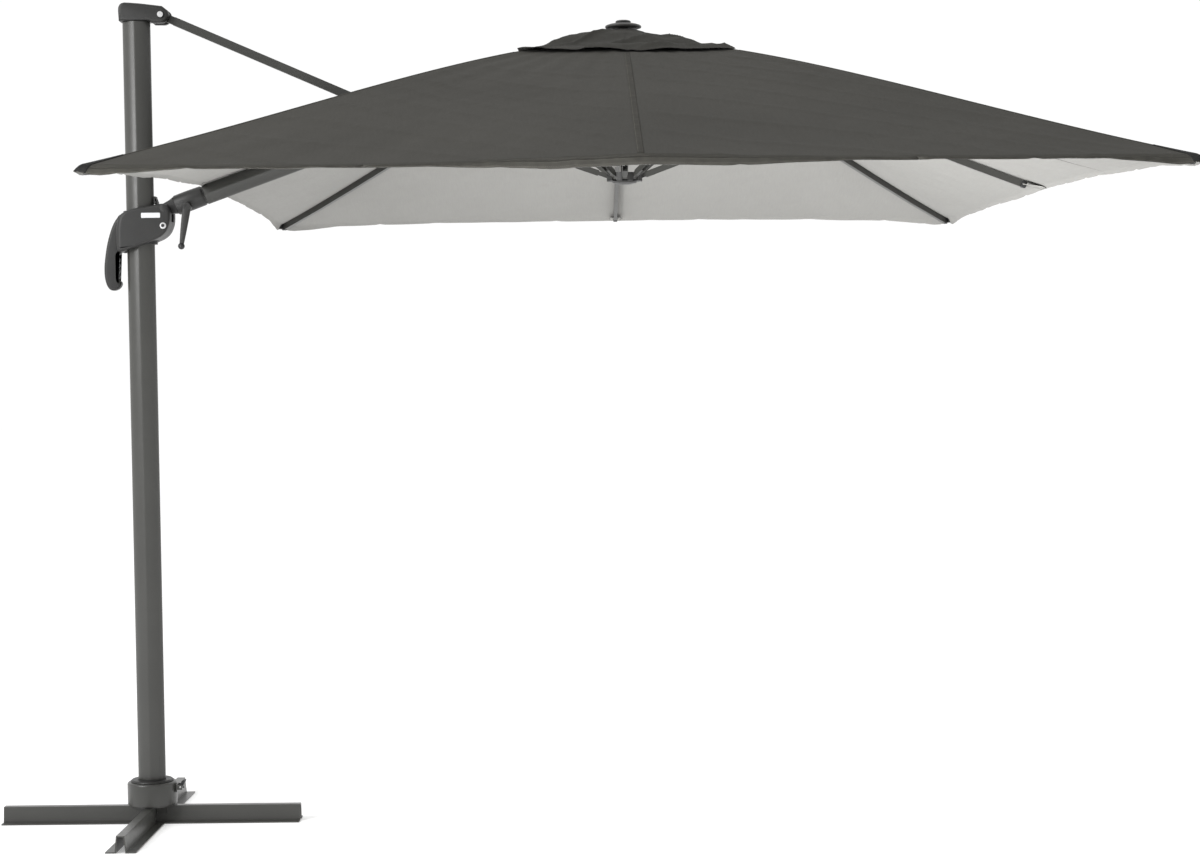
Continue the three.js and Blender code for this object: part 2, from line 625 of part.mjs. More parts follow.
function makeCrown() {
  const crown = new THREE.Matrix4().makeTranslation(CROWN_X, 0, CROWN_Z);
  const runner = new THREE.Matrix4().makeTranslation(CROWN_X, 0, CROWN_Z - RUNNER_DROP);
  piece('crown_hub', slottedHub(), moulding, canopyGroup, crown);
  piece('runner_hub', slottedHub(), moulding, canopyGroup, runner);
  const cup = turned([[0, -26], [20, -25], [40, -20], [46, -14.4], [0, -14.4]], 24);
  piece('runner_cap', cup, moulding, canopyGroup, runner);

  const rise = VENT_TOP - CROWN_Z;
  const post = turned([[0, 14.4], [POST_R, 14.4], [POST_R, rise + 4], [0, rise + 4]], 20);
  piece('crown_post', post, moulding, canopyGroup, crown);
  const base = rise + 5;
  const disc = turned([[0, base], [54, base], [62.5, base + 5], [60, base + 10], [34, base + 16], [0, base + 18]], 32);
  piece('finial_disc', disc, moulding, canopyGroup, crown);
  const knob = turned([[0, base + 18.4], [24, base + 18.4], [26.5, base + 21.5], [22, base + 26], [0, base + 28.5]], 24);
  piece('finial_knob', knob, moulding, canopyGroup, crown);
  ribs.forEach(makeRib);
  ribs.forEach(makeStretcher);
  makeBoomStretcher();
}

// ---------- fabric ----------
const HUB_COVER = 16.5;               // fabric over the crown hub, above the hinge line
const OVER_RIB = RIB.high / 2 + 4.2;
const OVER_BOOM = 38;

// height of the canopy's ridge over a rib or over the boom, at a distance from the crown's axis
function ridgeHeight(rib, r) {
  const out = r - HINGE_R;
  const slope = rib ? rib.down : BOOM_ANGLE;
  const bow = rib ? bowAt(rib, Math.min(out / Math.cos(slope), rib.length)) : 0;
  const over = (rib ? OVER_RIB : OVER_BOOM) + bow;
  const ridge = CROWN_Z - out * Math.tan(slope) + over / Math.cos(slope);
  return r < 84 ? Math.max(ridge, CROWN_Z + HUB_COVER) : ridge;
}

function hemDistance(azimuth) {
  return Math.min(HALF_X / Math.abs(Math.cos(azimuth)), HALF_Y / Math.abs(Math.sin(azimuth)));
}

// a thin closed sheet over the ridges, from rings of points [x, y, z]; the innermost ring is an opening
function sheetOf(rings, thickness) {
  const count = rings[0].length;
  const layers = rings.length;
  const positions = [];
  for (const lower of [0, thickness]) {
    rings.forEach((ring) => ring.forEach(([x, y, z]) => positions.push(x, y, z + thickness - lower)));
  }
  const at = (side, ring, i) => (side * layers + ring) * count + (i % count);
  const faces = [];
  const quad = (a, b, c, d) => faces.push(a, b, c, a, c, d);
  for (let i = 0; i < count; i += 1) {
    for (let ring = 0; ring < layers - 1; ring += 1) {
      quad(at(0, ring, i), at(0, ring + 1, i), at(0, ring + 1, i + 1), at(0, ring, i + 1));
      quad(at(1, ring, i), at(1, ring, i + 1), at(1, ring + 1, i + 1), at(1, ring + 1, i));
    }
    const hem = layers - 1;
    quad(at(0, hem, i), at(1, hem, i), at(1, hem, i + 1), at(0, hem, i + 1));
    quad(at(0, 0, i), at(0, 0, i + 1), at(1, 0, i + 1), at(1, 0, i));
  }
  const g = new THREE.BufferGeometry();
  g.setAttribute('position', new THREE.Float32BufferAttribute(positions, 3));
  g.setIndex(faces);
  return g;
}

// the ridges in order round the crown, each a rib or, for null, the boom
const ridges = [
  ...ribs.slice(0, 4),
  null,
  ...ribs.slice(4),
];

function ridgeAzimuth(rib) {
  return rib ? rib.azimuth : BOOM_AZIMUTH;
}

// one ring of canopy points at a share of the way from the crown to the hem, ridge to ridge in straight steps
function ringAt(share, steps, innerR, pull, point) {
  const ring = [];
  ridges.forEach((rib, n) => {
    const next = ridges[(n + 1) % ridges.length];
    const [a, b] = [rib, next].map((edge) => {
      const azimuth = ridgeAzimuth(edge);
      const r = innerR + share * (point.reach(azimuth) - innerR);
      return [r * Math.cos(azimuth), r * Math.sin(azimuth), point.height(edge, r, share)];
    });
    for (let i = 0; i < steps; i += 1) {
      const w = i / steps;
      const draw = 1 - pull * share * share * 4 * w * (1 - w);
      const [x, y, z] = a.map((value, axis) => value + w * (b[axis] - value));
      ring.push([CROWN_X + x * draw, y * draw, z]);
    }
  });
  return ring;
}

function makeCanopy() {
  const shape = { reach: hemDistance, height: (rib, r) => ridgeHeight(rib, r) };
  const shares = [0, 0.013, 0.06, 0.12, 0.18, 0.24, 0.33, 0.43, 0.55, 0.68, 0.84, 1];
  const rings = shares.map((share) => ringAt(share, 3, 45, 0.012, shape));
  const window = solid(block(STRUT_ALONG - 85, STRUT_ALONG + 60, -55, 55, 10, 120), boomPlace);
  piece('canopy', cut(solid(sheetOf(rings, FABRIC)), window), cloth, canopyGroup);
}

const VENT = { share: 0.242, overCorner: 7, overSide: 14 };

function makeVent() {
  const shape = {
    reach: (azimuth) => VENT.share * hemDistance(azimuth),
    height: (rib, r, share) => {
      const isCorner = rib && rib.length > 2000;
      const reach = VENT.share * hemDistance(ridgeAzimuth(rib));
      const hem = ridgeHeight(rib, reach) + (isCorner ? VENT.overCorner : VENT.overSide);
      return hem + (VENT_TOP - hem) * (1 - share ** 1.3);
    },
  };
  const rings = [0, 0.3, 0.65, 1].map((share) => ringAt(share, 3, POST_R + 6, 0.01, shape));
  piece('vent_canopy', sheetOf(rings, FABRIC), cloth, canopyGroup);
}

makeBase();
makeMast();
makeStrut();
makeBoomArm();
makeClampLever();
makeSlider();
makeBoom();
makeCrown();
makeCanopy();
makeVent();

export default parasol;
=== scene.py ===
"""Cantilever parasol: fabric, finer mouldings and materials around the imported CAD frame. Metres, +Z up."""

import json
from math import asin, atan2, copysign, cos, pi, radians, sin, sqrt, tan

import bmesh
import bpy
import numpy as np
from mathutils import Matrix, Vector


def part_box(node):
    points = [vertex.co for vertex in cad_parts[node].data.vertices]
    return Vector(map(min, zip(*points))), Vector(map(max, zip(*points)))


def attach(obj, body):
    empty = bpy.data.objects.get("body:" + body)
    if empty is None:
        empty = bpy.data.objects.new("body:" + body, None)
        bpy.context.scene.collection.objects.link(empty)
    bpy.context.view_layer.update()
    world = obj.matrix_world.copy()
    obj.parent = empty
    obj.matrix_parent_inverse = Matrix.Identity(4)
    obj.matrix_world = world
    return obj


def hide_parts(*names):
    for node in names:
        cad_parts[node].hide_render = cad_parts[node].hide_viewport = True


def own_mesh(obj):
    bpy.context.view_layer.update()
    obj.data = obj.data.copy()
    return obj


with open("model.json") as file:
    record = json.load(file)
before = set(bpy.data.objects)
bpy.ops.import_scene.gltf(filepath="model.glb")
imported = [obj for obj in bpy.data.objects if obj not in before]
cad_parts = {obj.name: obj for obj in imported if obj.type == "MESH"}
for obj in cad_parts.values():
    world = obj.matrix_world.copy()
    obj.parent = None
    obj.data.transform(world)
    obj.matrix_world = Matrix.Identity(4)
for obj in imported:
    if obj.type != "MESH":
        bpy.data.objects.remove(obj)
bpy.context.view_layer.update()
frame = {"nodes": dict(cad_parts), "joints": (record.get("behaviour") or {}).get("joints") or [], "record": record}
joints = {j["name"]: j for j in frame["joints"]}

# ---------- the frame's own directions ----------
Y = Vector((0, 1, 0))
knuckle = Vector(joints["side_tilt"]["pos_m"])
along = Vector(joints["side_tilt"]["axis"]).normalized()
boom_angle = asin(along.z)
crown_hinge = Vector(joints["crown_level"]["pos_m"])
boom_length = (crown_hinge - knuckle).length
strut_pivot = Vector(joints["strut_to_boom"]["pos_m"])
strut_along = (strut_pivot - knuckle).dot(along)
cap_pivot = Vector(joints["fold"]["pos_m"])
HINGE_R = 0.05  # from the crown's centre to its hinges

across = Vector(joints["crown_level"]["axis"]).normalized()  # +Y, rolled with the canopy
above_boom = along.cross(across)
canopy_x = (along * cos(boom_angle) - above_boom * sin(boom_angle)).normalized()
canopy_z = (along * sin(boom_angle) + above_boom * cos(boom_angle)).normalized()
crown_centre = crown_hinge + canopy_x * HINGE_R


def axes_matrix(origin, x_axis, y_axis, z_axis):
    """The matrix that takes local coordinates to the row frame."""
    turn = Matrix((x_axis, y_axis, z_axis)).transposed().to_4x4()
    return Matrix.Translation(origin) @ turn


WORLD = Matrix.Identity(4)
CROWN = axes_matrix(crown_centre, canopy_x, across, canopy_z)
BOOM = axes_matrix(knuckle, along, across, above_boom)
BOOM_ARM = axes_matrix(knuckle, along, Y, along.cross(Y))
Z_TO_X = Matrix(((0, 0, 1, 0), (1, 0, 0, 0), (0, 1, 0, 0), (0, 0, 0, 1)))
SIDES = ((-1, "near"), (1, "far"))


def new_object(name, data):
    made = bpy.data.objects.new(name, data)
    bpy.context.scene.collection.objects.link(made)
    return made


def set_inputs(node, values):
    for key, value in values.items():
        node.inputs[key].default_value = value


# ---------- camera, light and floor ----------
CAMERA = {"place": (1.573, -7.49, 1.535), "lens": 65.1, "down": 2.9, "roll": 0.6, "shift": (-0.0011, 0.0474)}
# the background's strength, by the Y of the direction
WORLD_RAMP = {"From Min": -0.75, "From Max": 0.15, "To Min": 0.55, "To Max": 1.02}
FLOOR_REACH = 60
FLOOR_DROP = 0.0005  # below the base, so that no two faces coincide
FLOOR_TONE, FLOOR_GLOW = 0.9, 0.32
# name, place, target, size, watts and spread in degrees
LIGHTS = (
    ("key", (-5.2, -5.0, 6.0), (1.1, -0.8, 2.3), 3.0, 280, 180),
    ("strip", (-3.0, -3.4, 2.7), (0.0, 0.0, 2.3), 1.2, 50, 180),
    ("under", (-1.2, -4.0, 0.35), (3.0, 0.3, 2.3), 1.0, 38, 50),
)


def make_camera():
    data = bpy.data.cameras.new("camera")
    data.sensor_width = 36
    data.lens = CAMERA["lens"]
    data.shift_x, data.shift_y = CAMERA["shift"]
    camera = new_object("camera", data)
    look = Matrix.Rotation(radians(90 - CAMERA["down"]), 4, "X")
    roll = Matrix.Rotation(radians(-CAMERA["roll"]), 4, "Z")
    camera.matrix_world = Matrix.Translation(CAMERA["place"]) @ look @ roll
    bpy.context.scene.camera = camera


def area_light(name, place, target, size, power, spread):
    data = bpy.data.lights.new(name, "AREA")
    data.shape = "DISK"
    data.size = size
    data.energy = power
    data.spread = radians(spread)
    light = new_object(name, data)
    light.location = place
    light.rotation_mode = "QUATERNION"
    light.rotation_quaternion = (Vector(target) - Vector(place)).to_track_quat("-Z", "Y")


def make_world():
    """Bright beyond the object and dimmer on the camera's side, so that tubes have a shaded side."""
    world = bpy.data.worlds.new("studio")
    world.use_nodes = True
    tree = world.node_tree
    background = tree.nodes["Background"]
    place = tree.nodes.new("ShaderNodeTexCoord")
    parts = tree.nodes.new("ShaderNodeSeparateXYZ")
    ramp = tree.nodes.new("ShaderNodeMapRange")
    ramp.interpolation_type = "SMOOTHSTEP"
    set_inputs(ramp, WORLD_RAMP)
    tree.links.new(place.outputs["Generated"], parts.inputs[0])
    tree.links.new(parts.outputs["Y"], ramp.inputs["Value"])
    tree.links.new(ramp.outputs["Result"], background.inputs["Strength"])
    set_inputs(background, {"Color": (1, 1, 1, 1)})
    bpy.context.scene.world = world
    bpy.context.scene.view_settings.view_transform = "Standard"


def make_floor():
    """A pale floor that glows a little, so that it nearly reaches the white of the background."""
    mesh = bpy.data.meshes.new("floor")
    corners = [(x * FLOOR_REACH, y * FLOOR_REACH, 0) for x, y in ((-1, -1), (1, -1), (1, 1), (-1, 1))]
    mesh.from_pydata(corners, [], [(0, 1, 2, 3)])
    floor = new_object("floor", mesh)
    floor.location.z = -FLOOR_DROP
    material = bpy.data.materials.new("floor")
    material.use_nodes = True
    set_inputs(material.node_tree.nodes["Principled BSDF"], {
        "Base Color": (FLOOR_TONE, FLOOR_TONE, FLOOR_TONE, 1), "Roughness": 0.95, "Specular IOR Level": 0.0,
        "Emission Color": (1, 1, 1, 1), "Emission Strength": FLOOR_GLOW,
    })
    mesh.materials.append(material)


def make_stage():
    make_world()
    make_floor()
    for light in LIGHTS:
        area_light(*light)


# ---------- materials ----------
class Shader:
    """A small helper that lays out one Principled material."""

    def __init__(self, name, roughness, metallic=0.0):
        self.material = bpy.data.materials.new(name)
        self.material.use_nodes = True
        self.tree = self.material.node_tree
        self.main = self.tree.nodes["Principled BSDF"]
        set_inputs(self.main, {"Roughness": roughness, "Metallic": metallic})
        self.place = self.tree.nodes.new("ShaderNodeTexCoord").outputs["Object"]

    def node(self, kind, **values):
        made = self.tree.nodes.new(kind)
        for key, value in values.items():
            setattr(made, key, value)
        return made

    def link(self, source, target):
        self.tree.links.new(source, target)

    def stretched(self, scale):
        mapping = self.node("ShaderNodeMapping")
        set_inputs(mapping, {"Scale": scale})
        self.link(self.place, mapping.inputs["Vector"])
        return mapping.outputs["Vector"]

    def noise(self, scale, detail=3.0, vector=None, roughness=0.5):
        made = self.node("ShaderNodeTexNoise")
        set_inputs(made, {"Scale": scale, "Detail": detail, "Roughness": roughness})
        self.link(vector or self.place, made.inputs["Vector"])
        return made.outputs["Fac"]

    def ramp(self, factor, stops):
        made = self.node("ShaderNodeValToRGB")
        while len(made.color_ramp.elements) < len(stops):
            made.color_ramp.elements.new(0.5)
        for element, (at, color) in zip(made.color_ramp.elements, stops):
            element.position = at
            element.color = (*color, 1)
        self.link(factor, made.inputs["Fac"])
        return made.outputs["Color"]

    def mix(self, factor, base, color):
        """The base with a plain colour laid over it, by the factor."""
        made = self.node("ShaderNodeMix", data_type="RGBA")
        self.link(factor, made.inputs["Factor"])
        self.link(base, made.inputs["A"])
        made.inputs["B"].default_value = (*color, 1)
        return made.outputs["Result"]

    def math(self, operation, a, b=0):
        made = self.node("ShaderNodeMath", operation=operation)
        for socket, value in zip(made.inputs, (a, b)):
            if isinstance(value, (int, float)):
                socket.default_value = value
            else:
                self.link(value, socket)
        return made.outputs[0]

    def color(self, source):
        self.link(source, self.main.inputs["Base Color"])

    def rough(self, source, low, high):
        spread = self.node("ShaderNodeMapRange")
        set_inputs(spread, {"To Min": low, "To Max": high})
        self.link(source, spread.inputs["Value"])
        self.link(spread.outputs["Result"], self.main.inputs["Roughness"])

    def bump(self, height, strength, distance):
        made = self.node("ShaderNodeBump")
        set_inputs(made, {"Strength": strength, "Distance": distance})
        self.link(height, made.inputs["Height"])
        self.link(made.outputs["Normal"], self.main.inputs["Normal"])

    def edges(self):
        """1 on outer edges and 0 elsewhere, from the surface's own curvature."""
        geometry = self.node("ShaderNodeNewGeometry")
        return self.ramp(geometry.outputs["Pointiness"], [(0.5, (0, 0, 0)), (0.6, (1, 1, 1))])


def lighter(color, times):
    return tuple(min(1, c * times) for c in color)


def powder_coat(name, dark, light, roughness):
    s = Shader(name, roughness)
    set_inputs(s.main, {"Specular IOR Level": 0.55})
    cloud = s.noise(3.0, 4)
    base = s.ramp(cloud, [(0.3, dark), (0.7, light)])
    worn = s.math("MULTIPLY", s.edges(), 0.22)
    s.color(s.mix(worn, base, lighter(light, 2.2)))
    s.rough(s.noise(40, 3), roughness - 0.06, roughness + 0.08)
    s.bump(s.noise(1400, 2), 0.1, 0.0004)
    return s.material


def moulded(name, dark, light, roughness, grain=2600):
    s = Shader(name, roughness)
    base = s.ramp(s.noise(9, 4), [(0.3, dark), (0.72, light)])
    scuffs = s.ramp(s.noise(60, 6, s.stretched((1, 1, 0.25))), [(0.62, (0, 0, 0)), (0.78, (1, 1, 1))])
    s.color(s.mix(s.math("MULTIPLY", scuffs, 0.14), base, lighter(light, 1.9)))
    cells = s.node("ShaderNodeTexVoronoi")
    set_inputs(cells, {"Scale": grain})
    s.link(s.place, cells.inputs["Vector"])
    s.bump(cells.outputs["Distance"], 0.22, 0.0004)
    s.rough(s.noise(120, 3), roughness - 0.07, roughness + 0.07)
    return s.material


def bright_steel(name):
    s = Shader(name, 0.4, 0.75)
    streaks = s.noise(300, 3, s.stretched((1, 12, 1)))
    s.color(s.ramp(streaks, [(0.3, (0.62, 0.62, 0.63)), (0.7, (0.85, 0.85, 0.85))]))
    s.rough(streaks, 0.24, 0.42)
    s.bump(streaks, 0.08, 0.0002)
    return s.material


THREAD = 0.0011  # from one thread of the weave to the next
BAND_SCALE = 0.314  # the wave texture's scale with one band a metre
STITCH, STITCH_SHARE = 0.0055, 0.68
STITCH_ROW, STITCH_HALF = 0.0065, 0.0009


def woven(name, dark, light, mottle=0.5):
    """Plain-weave polyester: two sets of threads, faint bars along the warp and soft mottling."""
    s = Shader(name, 0.86)
    set_inputs(s.main, {"Sheen Weight": 0.03, "Sheen Roughness": 0.55, "Specular IOR Level": 0.06})
    waves = []
    for direction in ("X", "Y"):
        wave = s.node("ShaderNodeTexWave", wave_type="BANDS", bands_direction=direction, wave_profile="SIN")
        set_inputs(wave, {"Scale": BAND_SCALE / THREAD, "Distortion": 0.35})
        s.link(s.place, wave.inputs["Vector"])
        waves.append(wave.outputs["Fac"])
    weave = s.math("ADD", waves[0], waves[1])
    bars = s.noise(36, 3, s.stretched((6, 0.35, 1)))
    cloud = s.noise(1.7, 5, roughness=0.6)
    fleck = s.noise(420, 2)
    tone = s.math("ADD", s.math("MULTIPLY", cloud, mottle), s.math("MULTIPLY", bars, 0.28))
    tone = s.math("ADD", tone, s.math("MULTIPLY", fleck, 0.22))
    s.color(s.ramp(tone, [(0.3, dark), (0.72, light)]))
    s.bump(weave, 0.35, 0.0003)
    return s.material


def stitched(name, dark, light):
    """A seam tape with two rows of stitches, laid out by the strip's own length and width in metres."""
    s = Shader(name, 0.85)
    set_inputs(s.main, {"Specular IOR Level": 0.06})
    uv = s.node("ShaderNodeUVMap", uv_map="run")
    parts = s.node("ShaderNodeSeparateXYZ")
    s.link(uv.outputs["UV"], parts.inputs[0])
    step = s.math("FRACT", s.math("MULTIPLY", parts.outputs[0], 1 / STITCH))
    dash = s.math("LESS_THAN", step, STITCH_SHARE)
    off = s.math("ABSOLUTE", s.math("SUBTRACT", s.math("ABSOLUTE", parts.outputs[1]), STITCH_ROW))
    row = s.math("LESS_THAN", off, STITCH_HALF)
    stitch = s.math("MULTIPLY", dash, row)
    base = s.ramp(s.noise(40, 4), [(0.3, dark), (0.7, light)])
    s.color(s.mix(s.math("MULTIPLY", stitch, 0.55), base, lighter(light, 1.7)))
    s.bump(s.math("ADD", stitch, s.math("MULTIPLY", s.noise(500, 2), 0.3)), 0.5, 0.0006)
    return s.material


STEEL = powder_coat("anthracite_steel", (0.04, 0.04, 0.037), (0.051, 0.051, 0.047), 0.31)
# Painted shade: the same anthracite powder coat as the steel, made darker to stand in for the shade under the
# canopy.
SHADED_ALLOY = powder_coat("anthracite_aluminium_painted_shade", (0.025, 0.025, 0.023), (0.033, 0.033, 0.03), 0.32)
MOULDED = moulded("anthracite_moulding", (0.0118, 0.0118, 0.0113), (0.0168, 0.0168, 0.016), 0.44)
LIGHT_MOULDED = moulded("finial_moulding", (0.034, 0.034, 0.032), (0.046, 0.046, 0.043), 0.45)
BLACK = moulded("black_moulding", (0.012, 0.012, 0.013), (0.022, 0.022, 0.023), 0.45)
BRIGHT = bright_steel("zinc_steel")
LABEL = moulded("blank_plate", (0.62, 0.63, 0.64), (0.74, 0.75, 0.76), 0.4, 4000)
CLOTH_TOP = woven("canopy_cloth_outside", (0.05, 0.0485, 0.043), (0.07, 0.0675, 0.06))
# Painted shade: the canopy's own cloth, made darker to stand in for the shade in the vent's wrinkles.
SHADED_CLOTH_VENT = woven("vent_cloth_painted_shade", (0.038, 0.037, 0.0328), (0.056, 0.054, 0.048))
# Painted light: the inside face of the same dark canopy cloth, made pale to stand in for the light it gets from
# below.
LIT_CLOTH_UNDER = woven("canopy_cloth_inside_painted_light", (0.3, 0.296, 0.283), (0.365, 0.361, 0.346), mottle=0.35)
# Partly painted shade: the corner pockets are real pieces, and their near-black colour also paints the shade at
# the corners' hems.
SHADED_POCKET_CLOTH = woven("pocket_cloth_painted_shade", (0.018, 0.018, 0.018), (0.03, 0.03, 0.029))
TAPE = stitched("seam_tape", (0.05, 0.0485, 0.043), (0.068, 0.0655, 0.058))
# Painted light: the same seam tape, made pale to stand in for the light on the canopy's underside.
LIT_TAPE_UNDER = stitched("seam_tape_inside_painted_light", (0.31, 0.306, 0.292), (0.37, 0.366, 0.35))

SLOT_MATERIAL = {
    "frame_steel": STEEL, "frame_aluminium": SHADED_ALLOY, "grey_moulding": MOULDED, "black_moulding": BLACK,
    "bright_steel": BRIGHT, "canopy_fabric": CLOTH_TOP, "blank_label": LABEL,
}
SLOT_OF = {material.name: slot for slot, material in SLOT_MATERIAL.items()}
SLOT_OF[LIGHT_MOULDED.name] = "grey_moulding"
SLOT_OF[SHADED_CLOTH_VENT.name] = "canopy_fabric"

# ---------- mesh helpers ----------
SMOOTH = radians(32)
CREASE = 0.25  # how much of an extruded tube's section is ridged instead of oval
LIP = 0.0012  # the rounding of a tube's ends
RIM_REACH = 0.01  # how far from a slab's face its rim goes


def finish_mesh(mesh, material):
    mesh.materials.append(material)
    mesh.shade_smooth()
    mesh.set_sharp_from_angle(angle=SMOOTH)


def add_piece(name, mesh, matrix, material, body, stands_for=None):
    """Links a mesh made in local coordinates, puts it in the row frame and onto its body."""
    mesh.transform(matrix)
    mesh.update()
    finish_mesh(mesh, material)
    piece = new_object(name, mesh)
    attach(piece, body)
    if stands_for:
        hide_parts(stands_for)


def from_bmesh(bm, name):
    bmesh.ops.recalc_face_normals(bm, faces=bm.faces)
    mesh = bpy.data.meshes.new(name)
    bm.to_mesh(mesh)
    bm.free()
    return mesh


def oval(width, height, count=72, power=2.25):
    """A superellipse: an oval with slightly flattened sides."""
    points = []
    for i in range(count):
        t = 2 * pi * i / count
        c, s = cos(t), sin(t)
        x = copysign(abs(c) ** (2 / power), c) * width / 2
        y = copysign(abs(s) ** (2 / power), s) * height / 2
        points.append((x, y))
    return points


def creased(width, height, count=96):
    """An oval whose broad sides come to a soft ridge in the middle, as the extruded tubes have."""
    points = []
    for i in range(count):
        t = 2 * pi * i / count
        x = cos(t)
        y = (1 - CREASE) * sqrt(max(0, 1 - x * x)) + CREASE * (1 - abs(x))
        on_axis = i % (count // 2) == 0
        points.append((x * width / 2, 0.0 if on_axis else copysign(y, sin(t)) * height / 2))
    return points


def loft_mesh(name, sections, closed_ends=True):
    """Rings of equal count, joined in order; the ends are capped, or the last joins the first."""
    bm = bmesh.new()
    rings = [[bm.verts.new(p) for p in ring] for ring in sections]
    count = len(rings[0])
    pairs = list(zip(rings, rings[1:]))
    if not closed_ends:
        pairs.append((rings[-1], rings[0]))
    for a, b in pairs:
        for i in range(count):
            j = (i + 1) % count
            bm.faces.new((a[i], a[j], b[j], b[i]))
    if closed_ends:
        bm.faces.new(rings[0][::-1])
        bm.faces.new(rings[-1])
    return from_bmesh(bm, name)


def tube_mesh(name, outer, inner, low, high):
    """A hollow tube along local Z with softened end lips."""
    def ring(points, z, grow=0.0):
        return [(x * (1 + grow), y * (1 + grow), z) for x, y in points]
    soft = -LIP / max(abs(p[0]) for p in outer)
    sections = [
        ring(outer, low, soft), ring(outer, low + LIP), ring(outer, high - LIP), ring(outer, high, soft),
        ring(inner, high), ring(inner, low),
    ]
    return loft_mesh(name, sections, closed_ends=False)


def lathe_mesh(name, profile, count=72):
    """A body turned about local Z from (radius, height) points, from axis to axis or in a closed loop."""
    bm = bmesh.new()
    rings = []
    for r, z in profile:
        if r == 0:
            rings.append([bm.verts.new((0, 0, z))])
        else:
            steps = [2 * pi * i / count for i in range(count)]
            rings.append([bm.verts.new((r * cos(t), r * sin(t), z)) for t in steps])
    pairs = list(zip(rings, rings[1:]))
    if len(rings[0]) > 1:
        pairs.append((rings[-1], rings[0]))
    for a, b in pairs:
        for i in range(count):
            j = (i + 1) % count
            if len(a) == 1:
                bm.faces.new((a[0], b[j], b[i]))
            elif len(b) == 1:
                bm.faces.new((a[i], a[j], b[0]))
            else:
                bm.faces.new((a[i], a[j], b[j], b[i]))
    return from_bmesh(bm, name)


def arc(centre, radius, start, sweep, steps):
    """Points round a part of a circle, from start on through sweep, in degrees."""
    turns = [radians(start + sweep * k / steps) for k in range(steps + 1)]
    return [(centre[0] + radius * cos(t), centre[1] + radius * sin(t)) for t in turns]


def rounded(points, radius):
    """An outline with each corner taken round an arc-like curve, over less than half of each edge."""
    out = []
    count = len(points)
    steps, most = 5, 0.45
    for i in range(count):
        corner = Vector(points[i])
        before = Vector(points[i - 1]) - corner
        after = Vector(points[(i + 1) % count]) - corner
        cut = min(radius, before.length * most, after.length * most)
        start = corner + before.normalized() * cut
        end = corner + after.normalized() * cut
        for k in range(steps + 1):
            t = k / steps
            out.append(tuple(start * (1 - t) ** 2 + corner * 2 * t * (1 - t) + end * t ** 2))
    return out


def slab_mesh(name, outline, y0, y1, bevel, steps=4, bevel_far=None, wider=None):
    """An outline in local X and Z, thick from y0 to y1, with rounded rims; wider(x) multiplies them at x."""
    far = bevel if bevel_far is None else bevel_far
    pts = [Vector(p) for p in outline]
    following = pts[1:] + pts[:1]
    area = sum(p.x * q.y - q.x * p.y for p, q in zip(pts, following))
    side = 1 if area > 0 else -1
    inward = []
    for before, after in zip(pts[-1:] + pts[:-1], following):
        edge = (after - before).normalized()
        inward.append(Vector((-edge.y, edge.x)) * side)

    def ring(depth, y, face):
        out = []
        for p, n in zip(pts, inward):
            k = wider(p.x) if wider and abs(y - face) <= RIM_REACH else 1
            out.append((p.x + n.x * depth * k, face + (y - face) * k, p.y + n.y * depth * k))
        return out

    turns = [pi / 2 * k / steps for k in range(steps + 1)]
    sections = [ring(bevel * (1 - sin(t)), y0 + bevel * (1 - cos(t)), y0) for t in turns]
    sections += [ring(far * (1 - sin(t)), y1 - far * (1 - cos(t)), y1) for t in turns[::-1]]
    return loft_mesh(name, sections)


def turned_to(axis):
    """Takes local Z to the given axis."""
    return Vector(axis).to_track_quat("Z", "Y").to_matrix().to_4x4()


def carve(mesh, cutters):
    """Cuts each cutter mesh out of a mesh, and gives the new mesh."""
    base = new_object("carved", mesh)
    tools = []
    for cutter in cutters:
        tool = new_object("cutter", cutter)
        modifier = base.modifiers.new("cut", "BOOLEAN")
        modifier.object = tool
        modifier.operation = "DIFFERENCE"
        modifier.solver = "EXACT"
        tools.append(tool)
    bpy.context.view_layer.update()
    graph = bpy.context.evaluated_depsgraph_get()
    made = bpy.data.meshes.new_from_object(base.evaluated_get(graph))
    for item in [base, *tools]:
        bpy.data.objects.remove(item)
    return made


def box_mesh(name, low, high):
    bm = bmesh.new()
    bmesh.ops.create_cube(bm, size=1)
    for v in bm.verts:
        v.co = Vector(low[i] + (v.co[i] + 0.5) * (high[i] - low[i]) for i in range(3))
    return from_bmesh(bm, name)


def add_side_piece(name, profile, count, at, y, side, material, body):
    """A turned piece that faces outward, at a distance y from the middle on the near or the far side."""
    place = Matrix.Translation((at[0], side * y, at[2])) @ turned_to((0, side, 0))
    add_piece(name, lathe_mesh(name, profile, count), place, material, body)


# ---------- the canopy's surface, in the crown's own frame ----------
HALF_X, HALF_Y = 1.45, 1.92
CORNER = atan2(HALF_Y, HALF_X)
RIB_TOP = 0.0162
BOOM_TOP = 0.038
HUB_TOP = 0.0165
INNER_R = 0.045
THICK = 0.0012
BOW_SCALE = 6.75  # makes t (1 - t)^2 reach 1
HUB_REACH, HUB_BLEND = 0.13, 0.05
DRAW_IN = 0.012  # how far the middle of a hem is drawn in, as a share of its radius
HANG = 0.008  # how far the cloth hangs between two ridges
CORNER_RIB = (radians(12.94), 2.36, 0.036)
SIDE_RIB = (radians(15.7), 1.87, 0.023)
